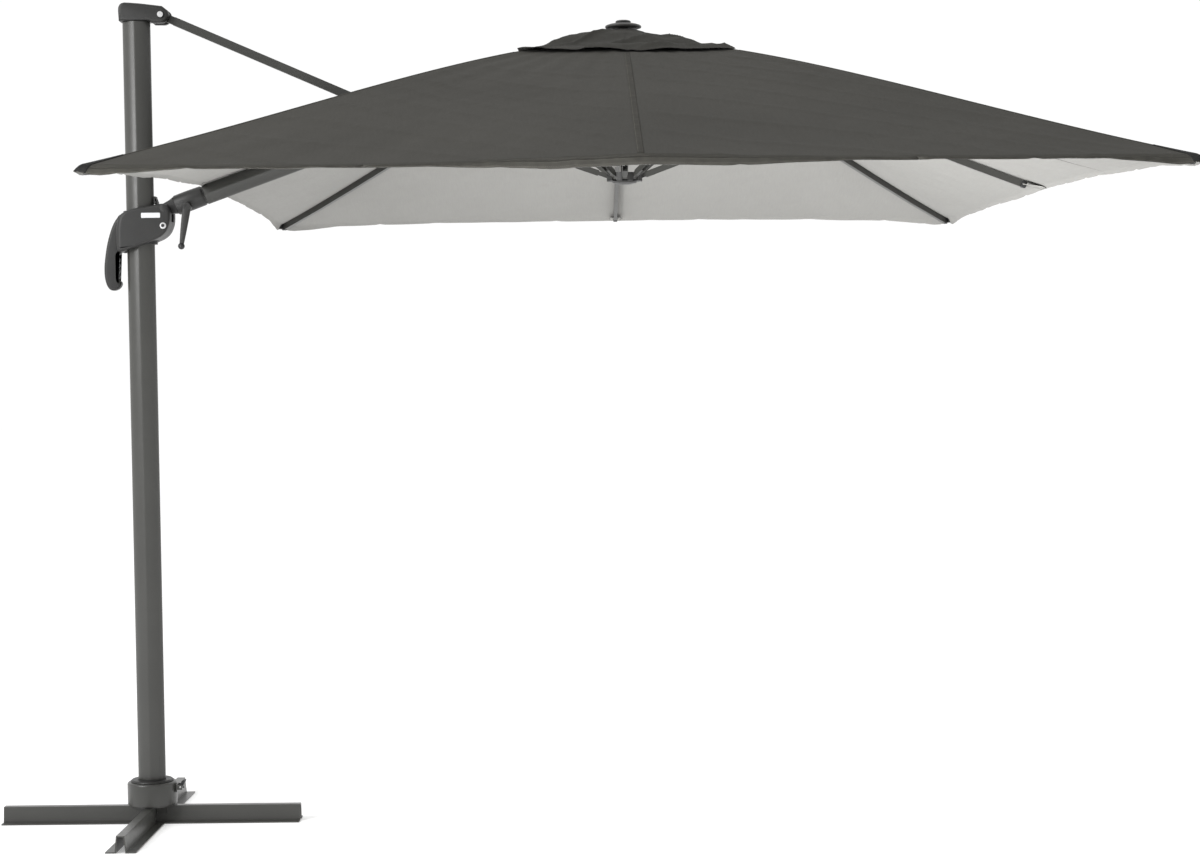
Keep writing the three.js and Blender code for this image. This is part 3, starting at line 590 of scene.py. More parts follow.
# name, azimuth, slope, length and bow, counterclockwise from the right
RIDGES = [
    ("rib_right", 0.0, radians(20.07), 1.4, 0.016),
    ("rib_far_right", CORNER, *CORNER_RIB),
    ("rib_far", pi / 2, *SIDE_RIB),
    ("rib_far_left", pi - CORNER, *CORNER_RIB),
    ("boom", pi, boom_angle, 0.0, 0.0),
    ("rib_near_left", pi + CORNER, *CORNER_RIB),
    ("rib_near", 1.5 * pi, *SIDE_RIB),
    ("rib_near_right", 2 * pi - CORNER, *CORNER_RIB),
]
RIBS = [index for index, ridge in enumerate(RIDGES) if ridge[0] != "boom"]
BESIDE_BOOM = 3


def label_of(index):
    """The side or corner that a ridge goes to; the boom's is the left one."""
    name = RIDGES[index][0]
    return "left" if name == "boom" else name.replace("rib_", "")


def is_corner(index):
    return RIDGES[index][3] == CORNER_RIB[1]


def hem_distance(index):
    """How far out the rectangle's edge is along a ridge."""
    azimuth = RIDGES[index][1]
    return min(HALF_X / max(abs(cos(azimuth)), 1e-9), HALF_Y / max(abs(sin(azimuth)), 1e-9))


def radius_at(index, share):
    return INNER_R + share * (hem_distance(index) - INNER_R)


def ridge_z(index, r):
    """The cloth's height over a ridge at radius r."""
    name, _, slope, length, bow = RIDGES[index]
    out = r - HINGE_R
    over = BOOM_TOP if name == "boom" else RIB_TOP
    if length:
        t = np.clip(out / cos(slope) / length, -0.1, 1)
        over = over + BOW_SCALE * bow * t * (1 - t) ** 2
    z = -out * tan(slope) + over / cos(slope)
    near_hub = np.clip((HUB_REACH - r) / HUB_BLEND, 0, 1)
    return np.where(near_hub > 0, z * (1 - near_hub) + np.maximum(z, HUB_TOP) * near_hub, z)


def ripple(x, y, scale, seed):
    """Smooth unrepeating waviness from a few fixed sines, about -1 to 1."""
    total = 0
    for k in range(4):
        a = seed * 2.1 + k * 1.7
        total = total + np.sin((x * cos(a) + y * sin(a)) * scale * (1 + 0.37 * k) + a * 3.3)
    return total / 4


def rise(value, start, over):
    """0 up to start, and 1 from start + over on."""
    return np.clip((value - start) / over, 0, 1)


def ridge_point(index, r, z):
    azimuth = RIDGES[index][1]
    return r * cos(azimuth), r * sin(azimuth), z


def between(ends, w, s):
    """x, y and z at a share w between two ridge points, and 0 on a ridge to 1 in the middle."""
    middle = 4 * w * (1 - w)
    draw = 1 - DRAW_IN * s * s * middle
    x, y = ((ends[0][k] * (1 - w) + ends[1][k] * w) * draw for k in (0, 1))
    z = ends[0][2] * (1 - w) + ends[1][2] * w
    return x, y, z, middle


def canopy_points(gore, w, s):
    """Top-surface points at a share w from ridge to ridge and a share s from the crown to the hem."""
    ends = []
    for index in (gore % 8, (gore + 1) % 8):
        r = radius_at(index, s)
        ends.append(ridge_point(index, r, ridge_z(index, r)))
    x, y, z, middle = between(ends, w, s)
    z = z - HANG * middle * np.sin(pi * np.clip(s, 0, 1)) * np.clip(s * 6, 0, 1)
    off_ridge = rise(s, 0.05, 0.15) * rise(np.minimum(w, 1 - w), 0, 0.08)
    z = z + folds(x, y, w, s, gore) * off_ridge
    z = z - hem_drop(w, s, gore, middle)
    return np.stack([x, y, z], -1)


def folds(x, y, w, s, gore):
    """Broad undulation, tension lines near the crown and the hem, creases and fine crumples."""
    broad = ripple(x, y, 5.0, 1.0) * 0.004 + ripple(x, y, 13.0, 2.0) * 0.0016
    fan = np.sin(w * (24 + 3 * gore) + 3.2 * ripple(x, y, 3.5, 4.0) + gore)
    fan = fan * np.exp(-((s - 0.34) / 0.16) ** 2)
    crease = 1 - np.abs(np.sin(x * 11 + y * 17 + 1.4 * np.sin(y * 3 + x * 5)))
    near_hem = np.sin(w * 52 + gore) * np.exp(-((s - 0.88) / 0.1) ** 2)
    fine = ripple(x, y, 46.0, 7.0) * np.clip(ripple(x, y, 2.6, 9.0) + 0.25, 0, 1)
    return broad + 0.0013 * fan + 0.0032 * crease ** 6 + 0.0009 * near_hem + 0.0015 * fine


CORNER_DROP, SIDE_DROP, NEAR_DROP = 0.022, 0.006, 0.018
SAG = (0.006, -0.004, -0.004, -0.004, -0.003, 0.01, 0.002, -0.004)  # of each gore's hem, down


def hem_drop(w, s, gore, middle):
    """The hem sags or lifts between ribs; its edge turns down, most at the corners and the near rib."""
    sag = SAG[gore % 8] * middle * rise(s, 0.55, 0.45) ** 2
    turn = rise(s, 0.9885, 0.0115) ** 1.5
    drop = SIDE_DROP
    for share, index in ((1 - w, gore % 8), (w, (gore + 1) % 8)):
        if is_corner(index):
            tip = 1 - 0.6 * rise(share, 0.965, 0.03)
            drop = drop + (CORNER_DROP - SIDE_DROP) * rise(share, 0.82, 0.14) * tip
        elif RIDGES[index][0] == "rib_near":
            drop = drop + NEAR_DROP * rise(share, 0.62, 0.22)
    return sag + turn * drop


VENT_SHARE = 0.242  # the vent's reach as a share of the canopy's
VENT_OVER_CORNER, VENT_OVER_SIDE = 0.003, 0.01
VENT_INNER_R = 0.04
VENT_REST = 0.0015  # how far below its own top the vent starts
vent_top = 2.712 - crown_hinge.z


def vent_points(gore, w, s):
    """The vent's surface by the same shares: a loose, creased cap with a wavy hem."""
    ends = []
    start = vent_top - VENT_REST
    for index in (gore % 8, (gore + 1) % 8):
        reach = VENT_SHARE * hem_distance(index)
        hem = ridge_z(index, np.array(reach)) + (VENT_OVER_CORNER if is_corner(index) else VENT_OVER_SIDE)
        r = VENT_INNER_R + s * (reach - VENT_INNER_R)
        ends.append(ridge_point(index, r, hem + (start - hem) * (1 - s ** 1.12)))
    x, y, z, middle = between(ends, w, s)
    loose = np.sin(pi * np.clip(s, 0, 1)) ** 0.8
    lopsided = -0.008 * loose * x / (np.abs(x) + 0.08) - 0.003 * loose
    sagging = np.sin(s * 13 + 2.6 * ripple(x, y, 7.0, 3.0) + gore * 0.4) * 0.0085 * np.clip(s * 2, 0, 1)
    ridged = (1 - np.abs(np.sin(x * 9 - y * 16 + 2 * np.sin(x * 7 + 1)))) ** 4 * 0.01
    crumple = ripple(x, y, 24.0, 3.0) * 0.006 + ripple(x, y, 60.0, 4.0) * 0.0026
    wave = 0.5 + 0.5 * np.sin(x * 23 + y * 19 + 1.3 * np.sin(x * 9))
    wavy_hem = wave * (0.002 + 0.008 * middle) * np.clip((s - 0.8) * 5, 0, 1)
    calm = np.clip(s * 4, 0, 1) * np.clip((1.12 - s) * 4, 0.3, 1)
    z = z + lopsided + (sagging + ridged + crumple) * calm + wavy_hem
    return np.stack([x, y, z], -1)


def grid_piece(name, points, materials, thick=THICK, uv=None):
    """A sheet from a grid of crown-frame points (rows, columns, 3), its top side up, given a thickness."""
    rows, columns = points.shape[:2]
    flat = points.reshape(-1, 3)
    faces = []
    for i in range(rows - 1):
        for j in range(columns - 1):
            k = i * columns + j
            faces.append((k, k + 1, k + columns + 1, k + columns))
    a, b, c = (Vector(flat[n]) for n in faces[len(faces) // 2][:3])
    if (b - a).cross(c - a).z < 0:
        faces = [f[::-1] for f in faces]
    mesh = bpy.data.meshes.new(name)
    mesh.from_pydata(flat.tolist(), [], faces)
    mesh.transform(CROWN)
    if uv is not None:
        layer = mesh.uv_layers.new(name="run")
        for loop in mesh.loops:
            layer.data[loop.index].uv = uv.reshape(-1, 2)[loop.vertex_index]
    for material in materials:
        mesh.materials.append(material)
    mesh.shade_smooth()
    piece = new_object(name, mesh)
    solidify = piece.modifiers.new("cloth", "SOLIDIFY")
    solidify.thickness = thick
    solidify.offset = -1
    solidify.use_rim = False
    solidify.material_offset = len(materials) - 1
    return piece


STRIP = 0.06  # half the width of the stiff strip over the boom


def fold_with(piece, index):
    """Rides on its ridge, with a mesh of its own."""
    name, azimuth = RIDGES[index][:2]
    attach(piece, name)
    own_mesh(piece)


def ridge_patch(surface, index, w_from, w_to, shares, columns):
    """Grid over a ridge: w runs from a share of the gore before it to a share of the gore after it."""
    s = np.repeat(shares[:, None], columns, 1)
    low = np.broadcast_to(np.asarray(w_from, float).reshape(-1, 1), s.shape)
    high = np.broadcast_to(np.asarray(w_to, float).reshape(-1, 1), s.shape)
    t = np.linspace(0, 1, columns)[None, :]
    w = low + (high - low) * t
    before = surface(index - 1, 1 + np.minimum(w, 0), s)
    after = surface(index, np.maximum(w, 0), s)
    return np.where((w < 0)[..., None], before, after)


CANOPY_SHARES = np.concatenate([
    np.linspace(0, 0.06, 4)[:-1], np.linspace(0.06, 0.985, 96), np.linspace(0.9885, 1, 6),
])
VENT_SHARES = np.linspace(0, 1, 40)


def boom_w(shares, half):
    """The share of a gore beside the boom at a given distance to the side of the boom."""
    y = radius_at(BESIDE_BOOM, shares) * abs(sin(RIDGES[BESIDE_BOOM][1]))
    return np.minimum(half / y, 0.46)


def add_panel(name, points, outside):
    """A panel of fabric, its inside face pale with painted light."""
    piece = grid_piece(name, points, [outside, LIT_CLOTH_UNDER])
    return piece


def make_layer(
    name, surface, shares, outside, columns, inner, stands_for, make_middle,
):
    """A panel centred on every rib, and half panels either side of the strip over the boom."""
    for index, ridge in enumerate(RIDGES):
        if ridge[0] == "boom":
            for suffix, low, high, side in (("_far", -0.5, -inner, -1), ("_near", inner, 0.5, 1)):
                points = ridge_patch(surface, index, low, high, shares, columns // 2)
                half = add_panel(name + "_left" + suffix, points, outside)
                fold_with(half, index)
            make_middle(index)
        else:
            points = ridge_patch(surface, index, -0.5, 0.5, shares, columns)
            piece = add_panel(name + "_" + label_of(index), points, outside)
            fold_with(piece, index)
            if index == 0:
                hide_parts(stands_for)


OPENING = (strut_along - 0.08, strut_along + 0.056)  # along the boom, for the strut's collar
BINDING_HALF = 0.006  # as a share of the canopy's radius


def make_boom_strip(index):
    """The stiff strip over the boom, in two lengths either side of the opening for the strut's collar."""
    def share_of(distance):
        r = HINGE_R + (boom_length - distance) * cos(boom_angle)
        return (r - INNER_R) / (hem_distance(index) - INNER_R)

    def strip(shares):
        w = boom_w(shares, STRIP)
        return ridge_patch(canopy_points, index, -w, w, shares, 9)

    lower, upper = (share_of(distance) for distance in OPENING)
    for suffix, low, high in (("inner", 0.0, upper), ("outer", lower, 1.0)):
        points = strip(np.linspace(low, high, 30))
        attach(add_panel("canopy_boom_strip_" + suffix, points, CLOTH_TOP), "boom")
    for suffix, share in (("lower", lower), ("upper", upper)):
        points = strip(share + np.array([-BINDING_HALF, BINDING_HALF]))
        points[..., 2] += THICK
        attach(grid_piece("opening_binding_" + suffix, points, [TAPE], thick=0.003), "boom")


def make_canopy():
    make_layer(
        "canopy", canopy_points, CANOPY_SHARES, CLOTH_TOP, 69, inner=boom_w(CANOPY_SHARES, STRIP),
        stands_for="canopy", make_middle=make_boom_strip,
    )


VENT_STRIP_W, VENT_STRIP = 0.02, 0.03


def make_vent_strip(index):
    points = ridge_patch(vent_points, index, -VENT_STRIP_W, VENT_STRIP_W, VENT_SHARES, 3)
    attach(add_panel("vent_left_middle", points, SHADED_CLOTH_VENT), "boom")


def make_vent():
    make_layer(
        "vent", vent_points, VENT_SHARES, SHADED_CLOTH_VENT, 41, inner=VENT_STRIP_W,
        stands_for="vent_canopy", make_middle=make_vent_strip,
    )
    top = [(0.021, 0.0012), (0.05, -0.0018), (0.074, -0.0095)]
    underside = [(0.074, -0.011), (0.05, -0.0034), (0.021, -0.0006)]
    patch = lathe_mesh("vent_patch", from_height(vent_top, top + underside))
    add_piece("vent_patch", patch, CROWN, SHADED_CLOTH_VENT, "crown")


def strip_over(name, points, lift, material, thick, index, rigid=False):
    """A narrow tape on a grid of surface points, with its own length and width for the stitches."""
    points = points.copy()
    points[..., 2] += lift
    middle = points.shape[1] // 2
    run = np.concatenate([[0], np.cumsum(np.linalg.norm(np.diff(points[:, middle], axis=0), axis=-1))])
    gap = np.linalg.norm(points - points[:, middle:middle + 1], axis=-1)
    sign = np.sign(np.arange(points.shape[1]) - middle)[None, :]
    uv = np.stack([np.broadcast_to(run[:, None], gap.shape), gap * sign], -1)
    piece = grid_piece(name, points, [material], thick=thick, uv=uv)
    piece.modifiers["cloth"].use_rim = True
    if rigid:
        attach(piece, RIDGES[index][0])
    else:
        fold_with(piece, index)


SEAM_HALF = 0.0075
HEM_WIDE = 0.013
GORE_SPREAD = 0.62  # a gore's width over its radius, about


def make_seams():
    """A felled seam along every rib, and a stitched hem along every edge."""
    shares = np.linspace(0.235, 0.985, 90)
    for index, ridge in enumerate(RIDGES):
        if ridge[0] != "boom":
            half = SEAM_HALF / (radius_at(index, shares) * GORE_SPREAD)
            tape = ridge_patch(canopy_points, index, -half, half, shares, 5)
            strip_over("seam_" + label_of(index), tape, 0.0007, TAPE, 0.0006, index, rigid=True)
        make_hem(index)


def make_hem(index):
    """A tape along the hem. At the boom it has three lengths, as the canopy has."""
    shares = np.linspace(1 - HEM_WIDE / hem_distance(index), 1.0, 5)
    inner = float(boom_w(np.array([1.0]), STRIP)[0])
    spans = [("", -0.5, 0.5, 69, 0.0, False)]
    if RIDGES[index][0] == "boom":
        spans = [
            ("_far", -0.5, -inner, 34, -STRIP, False), ("_near", inner, 0.5, 34, STRIP, False),
            ("_mid", -inner, inner, 9, 0.0, True),
        ]
    for suffix, low, high, columns, offset, rigid in spans:
        points = ridge_patch(canopy_points, index, low, high, shares, columns)
        points = np.transpose(points, (1, 0, 2))
        strip_over("hem_" + label_of(index) + suffix, points, 0.0008, TAPE, 0.001, index, rigid)


POCKET_HALF, TONGUE_HALF, TONGUE_LONG = 0.02, 0.03, 0.085


def make_corners():
    """Reinforcing pockets at the corners, near black partly with painted shade, and tongues at the ends of the
    middle ribs, pale with painted light.
    """
    pockets = (("pocket_", 0.93, 1.0, 0.0016), ("pocket_under_", 0.975, 0.9985, -0.0018))
    for index in RIBS:
        if is_corner(index):
            width = np.linspace(0.25, 1, 18) * POCKET_HALF
            for name, start, end, lift in pockets:
                patch = ridge_patch(canopy_points, index, -width, width, np.linspace(start, end, 18), 15)
                strip_over(name + label_of(index), patch, lift, SHADED_POCKET_CLOTH, 0.0008, index)
        else:
            hem = hem_distance(index)
            shares = np.linspace(1 - TONGUE_LONG / hem, 1 - 0.002, 10)
            tongue = ridge_patch(canopy_points, index, -TONGUE_HALF / hem, TONGUE_HALF / hem, shares, 9)
            tongue[..., 2] -= np.linspace(0.02, 0.003, 10)[:, None]
            # Painted light: the tongues take the pale, lit copy of the seam tape.
            strip_over("tongue_" + label_of(index), tongue, 0.0, LIT_TAPE_UNDER, 0.0012, index)


def rib_matrix(index):
    """Local X along the rib's chord, Y across it, Z above it."""
    name, azimuth, slope = RIDGES[index][:3]
    hinge = Vector(joints[name + "_fold"]["pos_m"])
    out = canopy_x * cos(azimuth) + across * sin(azimuth)
    side = across * cos(azimuth) - canopy_x * sin(azimuth)
    direction = out * cos(slope) - canopy_z * sin(slope)
    return axes_matrix(hinge, direction, side, direction.cross(side))


def make_rib_ends():
    """A moulded end cap in the mouth of every rib."""
    outline = rounded([(-0.004, -0.0135), (0.016, -0.0125), (0.016, 0.011), (-0.004, 0.0125)], 0.006)
    for index in RIBS:
        name, length = RIDGES[index][0], RIDGES[index][3]
        mesh = slab_mesh("cap", outline, -0.0088, 0.0088, 0.003)
        place = rib_matrix(index) @ Matrix.Translation((length + 0.0045, 0, 0))
        add_piece("rib_cap_" + label_of(index), mesh, place, BLACK, name)


# ---------- finer solids for the visible mouldings and tubes ----------
CAP_UNDERSIDE = [(-0.0535, 2.756), (0.05, 2.756), (0.06, 2.7485)]
CAP_TOP = [
    (0.094, 2.805), (0.06, 2.8095), (0.02, 2.8145), (-0.02, 2.8178), (-0.034, 2.8184),
    (-0.044, 2.816), (-0.051, 2.81), (-0.055, 2.801), (-0.0555, 2.788),
]
CAP_HALF, CAP_NOSE_R = 0.038, 0.027
BOLT_SEAT = 0.0382
BOLT_HEAD = [(0.0, 0), (0.0105, 0), (0.012, 0.0012), (0.0112, 0.0035), (0.0075, 0.0062), (0.0, 0.007)]


def from_height(height, profile):
    """A turned profile given by its heights above or below one level."""
    return [(r, height + z) for r, z in profile]


def make_mast():
    low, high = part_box("mast_tube")
    tube = tube_mesh("mast", creased(0.095, 0.068), creased(0.0902, 0.0632), low.z, high.z)
    add_piece("mast_profile", tube, WORLD, STEEL, "mast", "mast_tube")
    make_mast_cap()

    low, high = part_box("turning_cover")
    bottom, top = low.z, high.z
    disc = lathe_mesh("cover", [
        (0.0, bottom), (0.0725, bottom), (0.074, bottom + 0.0015), (0.0732, bottom + 0.004),
        (0.0705, top - 0.0012), (0.069, top), (0.0, top),
    ], 96)
    hole = loft_mesh("hole", [[(x, y, z) for x, y in oval(0.0965, 0.0695, 96)] for z in (0.1, 0.2)])
    add_piece("turning_plate", carve(disc, [hole]), WORLD, MOULDED, "mast", "turning_cover")
    for side, label in SIDES:
        name = "cap_bolt_head_" + label
        add_side_piece(name, BOLT_HEAD, 40, cap_pivot, BOLT_SEAT, side, BLACK, "mast")


def make_mast_cap():
    """The moulded head, round about the strut's pin, with a slot for the strut."""
    nose = arc((cap_pivot.x, cap_pivot.z), CAP_NOSE_R, -95, 130, 18)
    cap = slab_mesh("cap", CAP_UNDERSIDE + nose + CAP_TOP, -CAP_HALF, CAP_HALF, 0.01, 6)
    slot = box_mesh("slot", (0.064, -0.013, 2.7), (0.15, 0.013, 2.796))
    add_piece("mast_head", carve(cap, [slot]), WORLD, MOULDED, "mast", "mast_cap")


def make_base():
    low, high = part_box("base_hub")
    r, top = high.x, high.z
    well_r, well_floor, bore_r = 0.058, 0.0752, 0.007
    hub = lathe_mesh("hub", [
        (bore_r, low.z), (r - 0.0015, low.z), (r, low.z + 0.0015), (r, top - 0.007),
        (r - 0.001, top - 0.0036), (r - 0.0036, top - 0.001), (r - 0.007, top), (well_r + 0.001, top),
        (well_r, top - 0.001), (well_r, well_floor), (bore_r, well_floor),
    ], 112)
    add_piece("turning_hub", hub, WORLD, STEEL, "base", "base_hub")
    for x, side_x in ((-1, "left"), (1, "right")):
        for y, side_y in SIDES:
            span_x, span_y = sorted((x * 0.0178, x * 0.0505)), sorted((y * 0.015, y * 0.0178))
            gusset = box_mesh("gusset", (span_x[0], span_y[0], 0.0285), (span_x[1], span_y[1], 0.0568))
            add_piece("gusset_" + side_x + "_" + side_y, gusset, WORLD, STEEL, "base")


FINIAL_PLATE = [
    (0.0, 0), (0.055, 0), (0.0608, 0.0018), (0.0622, 0.0048), (0.061, 0.0085), (0.0565, 0.0112),
    (0.048, 0.0138), (0.04, 0.0156), (0.033, 0.0168), (0.026, 0.0176), (0.0, 0.018),
]
FINIAL_KNOB = [
    (0.0, 0), (0.0238, 0), (0.0256, 0.001), (0.0265, 0.0032), (0.0256, 0.0058), (0.023, 0.0078),
    (0.018, 0.0091), (0.01, 0.0099), (0.0, 0.0101),
]


def make_finial():
    bottom = vent_top + 0.005
    disc = lathe_mesh("disc", from_height(bottom, FINIAL_PLATE), 96)
    add_piece("finial_plate", disc, CROWN, LIGHT_MOULDED, "crown", "finial_disc")
    knob = lathe_mesh("knob", from_height(bottom + 0.0184, FINIAL_KNOB))
    add_piece("finial_cap", knob, CROWN, LIGHT_MOULDED, "crown", "finial_knob")


def make_boom():
    sizes = ((0.068, 0.048), (0.0644, 0.0444))
    outer, inner = ([(x, y) for y, x in creased(*size, 72)][::-1] for size in sizes)
    tube = tube_mesh("boom", outer, inner, 0.1415, boom_length - 0.09)
    add_piece("boom_profile", tube, BOOM @ Z_TO_X, SHADED_ALLOY, "boom", "boom_tube")

    low, high = 0.036, 0.138
    r, bore = 0.034, 0.0277
    sleeve = lathe_mesh("sleeve", [
        (0.0, low), (r - 0.004, low), (r - 0.001, low + 0.0015), (r, low + 0.004), (r + 0.0008, low + 0.05),
        (r, high - 0.006), (r - 0.0012, high - 0.0018), (r - 0.003, high), (bore + 0.001, high),
        (bore, high - 0.001), (bore, low + 0.011), (0.0, low + 0.011),
    ], 96)
    slit = box_mesh("slit", (0.02, -0.002, high - 0.05), (0.06, 0.002, high + 0.005))
    barrel = carve(sleeve, [slit])
    add_piece("sleeve_barrel", barrel, BOOM_ARM @ Z_TO_X, MOULDED, "boom_arm", "tilt_sleeve")
    eye = arc((0, 0), 0.02, 100, 160, 24)
    eye += [(0.02, -0.0235), (0.0365, -0.0285), (0.0365, 0.0285), (0.02, 0.0235)]
    web = slab_mesh("web", eye, -0.018, 0.018, 0.003)
    add_piece("sleeve_web", web, BOOM_ARM, MOULDED, "boom_arm")
    boss = [(0.0, 0), (0.013, 0), (0.013, 0.0215), (0.0118, 0.0228), (0.0, 0.0228)]
    at = Vector(joints["lever_turn"]["pos_m"])
    add_side_piece("clamp_boss", boss, 48, at, 0.0232 - at.y, -1, MOULDED, "boom_arm")


LEVER_HEAD = [
    (0.0, 0.0464), (0.0125, 0.0464), (0.014, 0.048), (0.014, 0.058), (0.012, 0.0598), (0.006, 0.06),
    (0.0055, 0.0585), (0.0, 0.0585),
]


def make_lever():
    """A cast lever with a round head, a tapering arm and a ball knob."""
    at = Vector(joints["lever_turn"]["pos_m"])
    ball_low, ball_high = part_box("lever_knob")
    ball = (ball_low + ball_high) / 2
    direction = Vector((ball.x - at.x, 0, ball.z - at.z))
    length = direction.length
    direction.normalize()
    place = axes_matrix(Vector((at.x, 0, at.z)), direction, Y, direction.cross(Y))
    sections = []
    steps = 22
    for k in range(steps + 1):
        t = k / steps
        x = 0.004 + t * (length - 0.012)
        high = 0.0142 - 0.0066 * t + 0.001 * sin(pi * t)
        wide = 0.0058 - 0.0012 * t
        y = -0.054 - 0.001 * sin(pi * t)
        sections.append([(x, y + wide * a, high * b) for a, b in oval(2, 2, 20, 2.6)])
    arm = loft_mesh("arm", sections)
    add_piece("lever_arm", arm, place, MOULDED, "clamp_lever", "clamp_lever")
    add_side_piece("lever_head", LEVER_HEAD, 48, at, 0, -1, MOULDED, "clamp_lever")
    r = (ball_high.z - ball_low.z) / 2
    turns = [pi * k / 24 for k in range(1, 24)]
    profile = [(0.0, -r)] + [(r * sin(t), -r * cos(t)) for t in turns] + [(0.0, r)]
    knob = lathe_mesh("ball", profile, 48)
    add_piece("lever_ball", knob, Matrix.Translation(ball), BLACK, "clamp_lever", "lever_knob")


def curve_points(points):
    """A smooth closed outline through given points, by a Catmull-Rom curve."""
    out = []
    count = len(points)
    steps = 6
    for i in range(count):
        p0, p1, p2, p3 = (Vector(points[(i + k) % count]) for k in (-1, 0, 1, 2))
        for k in range(steps):
            t = k / steps
            out.append(tuple(
                0.5 * (2 * p1 + (p2 - p0) * t + (2 * p0 - 5 * p1 + 4 * p2 - p3) * t * t
                       + (3 * p1 - p0 - 3 * p2 + p3) * t ** 3)
            ))
    return out


BODY_OUTLINE = [
    (-0.0745, 2.029), (-0.0738, 2.059), (-0.0685, 2.083), (-0.057, 2.101), (-0.032, 2.1125),
    (0.0000, 2.1215), (0.045, 2.1285), (0.078, 2.134), (0.096, 2.132), (0.108, 2.118), (0.1108, 2.094),
    (0.1075, 2.065), (0.096, 2.039), (0.078, 2.022), (0.052, 2.0095), (0.02, 1.997), (-0.015, 1.985),
    (-0.05, 1.974), (-0.068, 1.973), (-0.074, 1.987),
]
GRIP_OUTLINE = [
    (-0.064, 2.099), (-0.08, 2.087), (-0.093, 2.065), (-0.104, 2.036), (-0.114, 1.999),
    (-0.121, 1.959), (-0.125, 1.922), (-0.124, 1.886), (-0.117, 1.859), (-0.105, 1.844),
    (-0.09, 1.8425), (-0.076, 1.849), (-0.0675, 1.862), (-0.069, 1.872), (-0.0745, 1.879),
    (-0.075, 1.909), (-0.075, 1.949), (-0.074, 1.963), (-0.066, 1.975), (-0.058, 2.039),
]
PARTING, PARTING_RIM = 0.0002, 0.0006
HOUSING_HALF, GRIP_HALF = 0.056, 0.0195
WASHER = [
    (0.0052, 0), (0.0104, 0), (0.0107, 0.0006), (0.0104, 0.0018), (0.0086, 0.0024), (0.0056, 0.0022),
    (0.0052, 0.0016),
]
PIN_CAP = [(0.0, 0), (0.0125, 0), (0.0122, 0.0008), (0.01, 0.0016), (0.0, 0.0018)]


def housing_rim(x):
    """The housing's rim is twice as round on the grip's side."""
    return 1 + min(1, max(0, (-0.04 - x) / 0.03))


def half_mesh(name, outline, side, thick, bevel, **more):
    """One half of a moulding parted at Y = 0: rounded outside, and almost sharp where the halves meet."""
    span, rims = (PARTING, thick), (PARTING_RIM, bevel)
    if side < 0:
        span, rims = (-thick, -PARTING), rims[::-1]
    return slab_mesh(name, curve_points(outline), *span, bevel=rims[0], steps=7, bevel_far=rims[1], **more)


def mast_passage():
    return loft_mesh("passage", [[(x, y, z) for x, y in oval(0.119, 0.092, 96)] for z in (1.8, 2.3)])


def make_slider():
    for side, label in SIDES:
        body = half_mesh("body", BODY_OUTLINE, side, HOUSING_HALF, 0.009, wider=housing_rim)
        slot = box_mesh("slot", (0.067, -0.0185, 2.075), (0.15, 0.0185, 2.169))
        body = carve(body, [mast_passage(), slot])
        add_piece("slider_shell_" + label, body, WORLD, MOULDED, "slider", "slider_housing_" + label)
        grip = half_mesh("grip", GRIP_OUTLINE, side, GRIP_HALF, 0.01)
        pocket = box_mesh("pocket", (-0.097, -0.009, 1.875), (-0.06, 0.009, 1.963))
        grip = carve(grip, [pocket, mast_passage()])
        add_piece("slider_grip_" + label, grip, WORLD, MOULDED, "slider")
    low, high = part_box("label_plate")
    outline = rounded([(low.x, low.z), (high.x, low.z), (high.x, high.z), (low.x, high.z)], 0.003)
    plate = slab_mesh("plate", outline, low.y, high.y, 0.0004)
    add_piece("blank_plate", plate, WORLD, LABEL, "slider", "label_plate")
    make_trigger()
    make_carriage()


def make_trigger():
    """The release, with four finger waves along its outer edge."""
    low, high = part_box("release_trigger")
    bumps, steps, end, deep = 4, 9, 0.002, 0.004
    pitch = (high.z - low.z - 2 * end) / bumps
    points = [(low.x, low.z)]
    for i in range(bumps * steps + 1):
        wave = abs(sin(pi * i / steps)) ** 0.7
        points.append((high.x - 0.0042 + deep * wave, low.z + end + pitch * i / steps))
    points.append((low.x, high.z))
    trigger = slab_mesh("trigger", points, low.y, high.y, 0.0016)
    add_piece("finger_trigger", trigger, WORLD, BLACK, "trigger", "release_trigger")


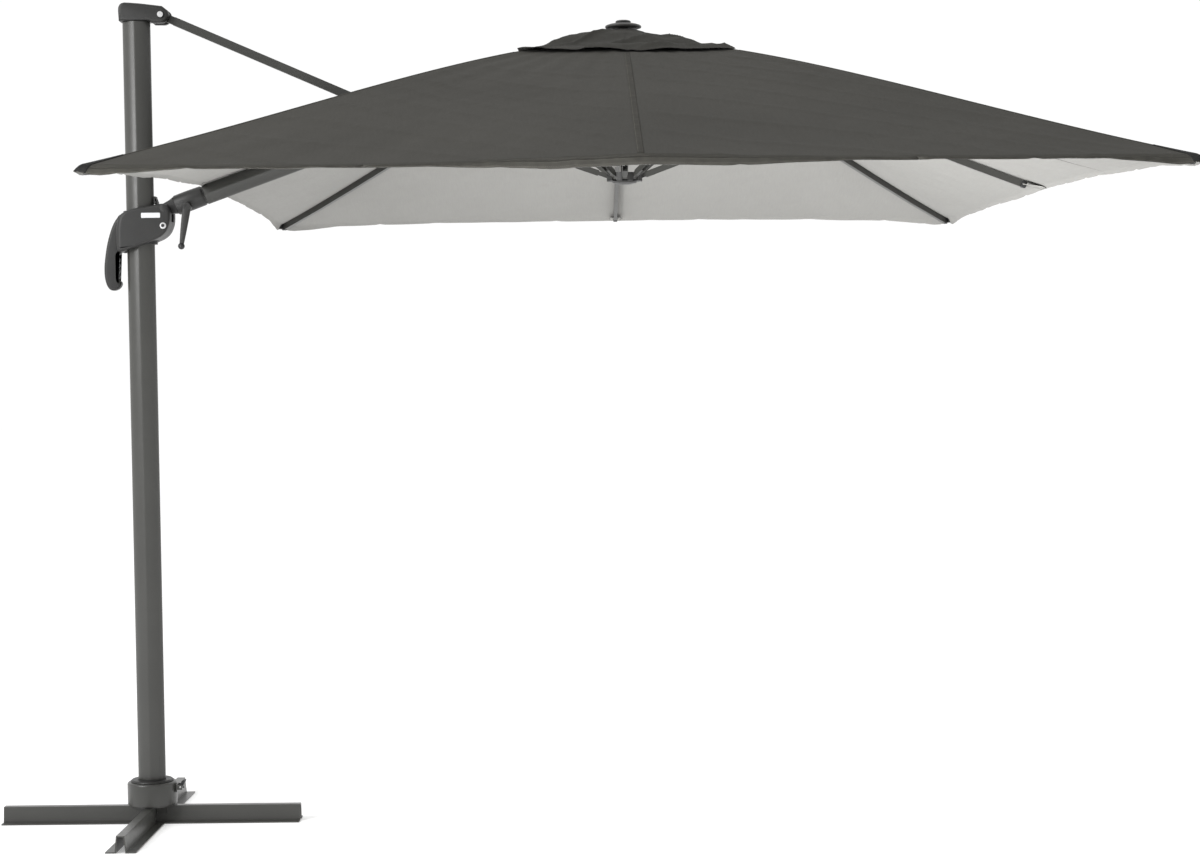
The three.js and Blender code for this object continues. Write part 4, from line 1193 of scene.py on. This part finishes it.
def make_carriage():
    """The stop block, and the washers, screw caps and pin caps on both sides of the housing."""
    low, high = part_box("carriage_stop")
    ledge, lip = low.z + 0.0104, low.x + 0.0065
    outline = [(low.x, low.z), (high.x, low.z), (high.x, ledge), (lip, ledge), (lip, high.z), (low.x, high.z)]
    stop = slab_mesh("stop", rounded(outline, 0.0015), low.y, high.y, 0.0015)
    add_piece("stop_block", stop, WORLD, MOULDED, "slider", "carriage_stop")
    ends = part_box("housing_bolt")
    centre = (ends[0] + ends[1]) / 2
    seat = HOUSING_HALF + 0.0003
    pin = joints["slider_level"]["pos_m"]
    for side, label in SIDES:
        add_side_piece("washer_" + label, WASHER, 56, centre, seat, side, BRIGHT, "slider")
        top = abs(ends[side > 0].y) - seat + 0.0012
        screw = [(0.0, 0), (0.0056, 0), (0.0056, top - 0.0006), (0.0048, top), (0.0, top)]
        add_side_piece("screw_" + label, screw, 32, centre, seat, side, BLACK, "slider")
    for side, label in SIDES:
        add_side_piece("pin_cap_" + label, PIN_CAP, 48, pin, 0.0556, side, MOULDED, "slider")


def make_pedal():
    at = Vector(joints["pedal_press"]["pos_m"])
    low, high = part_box("rotation_pedal")
    outline = [(-0.006, -0.004), (0.004, -0.0055), (0.0158, 0.0195)]
    outline += [(0.0108, 0.0236), (0.004, 0.0205), (-0.004, 0.006)]
    tread = slab_mesh("tread", rounded(outline, 0.003), low.y, high.y, 0.0022)
    add_piece("pedal_tread", tread, Matrix.Translation(at), BLACK, "pedal", "rotation_pedal")


def soften(node, width, segments=2):
    """Rounds a CAD node's sharp edges a little, so that they catch light."""
    piece = frame["nodes"][node]
    bevel = piece.modifiers.new("soft_edges", "BEVEL")
    bevel.width = width
    bevel.segments = segments
    bevel.limit_method = "ANGLE"
    bevel.angle_limit = radians(40)


def dress_cad():
    slots = {row["node"]: row["material_slot"] for row in frame["record"]["subparts"]}
    for name, piece in frame["nodes"].items():
        piece.data.materials.clear()
        finish_mesh(piece.data, SLOT_MATERIAL[slots[name]])
    for name in ("cross_arm_x", "cross_arm_y"):
        soften(name, 0.0022, 3)
    for name in ("strut_tube", "boom_stretcher"):
        soften(name, 0.002)
    for name in frame["nodes"]:
        if name.startswith("rib_"):
            soften(name, 0.0014)


make_camera()
make_stage()
dress_cad()
make_canopy()
make_vent()
make_seams()
make_corners()
make_rib_ends()
make_mast()
make_base()
make_finial()
make_boom()
make_lever()
make_slider()
make_pedal()
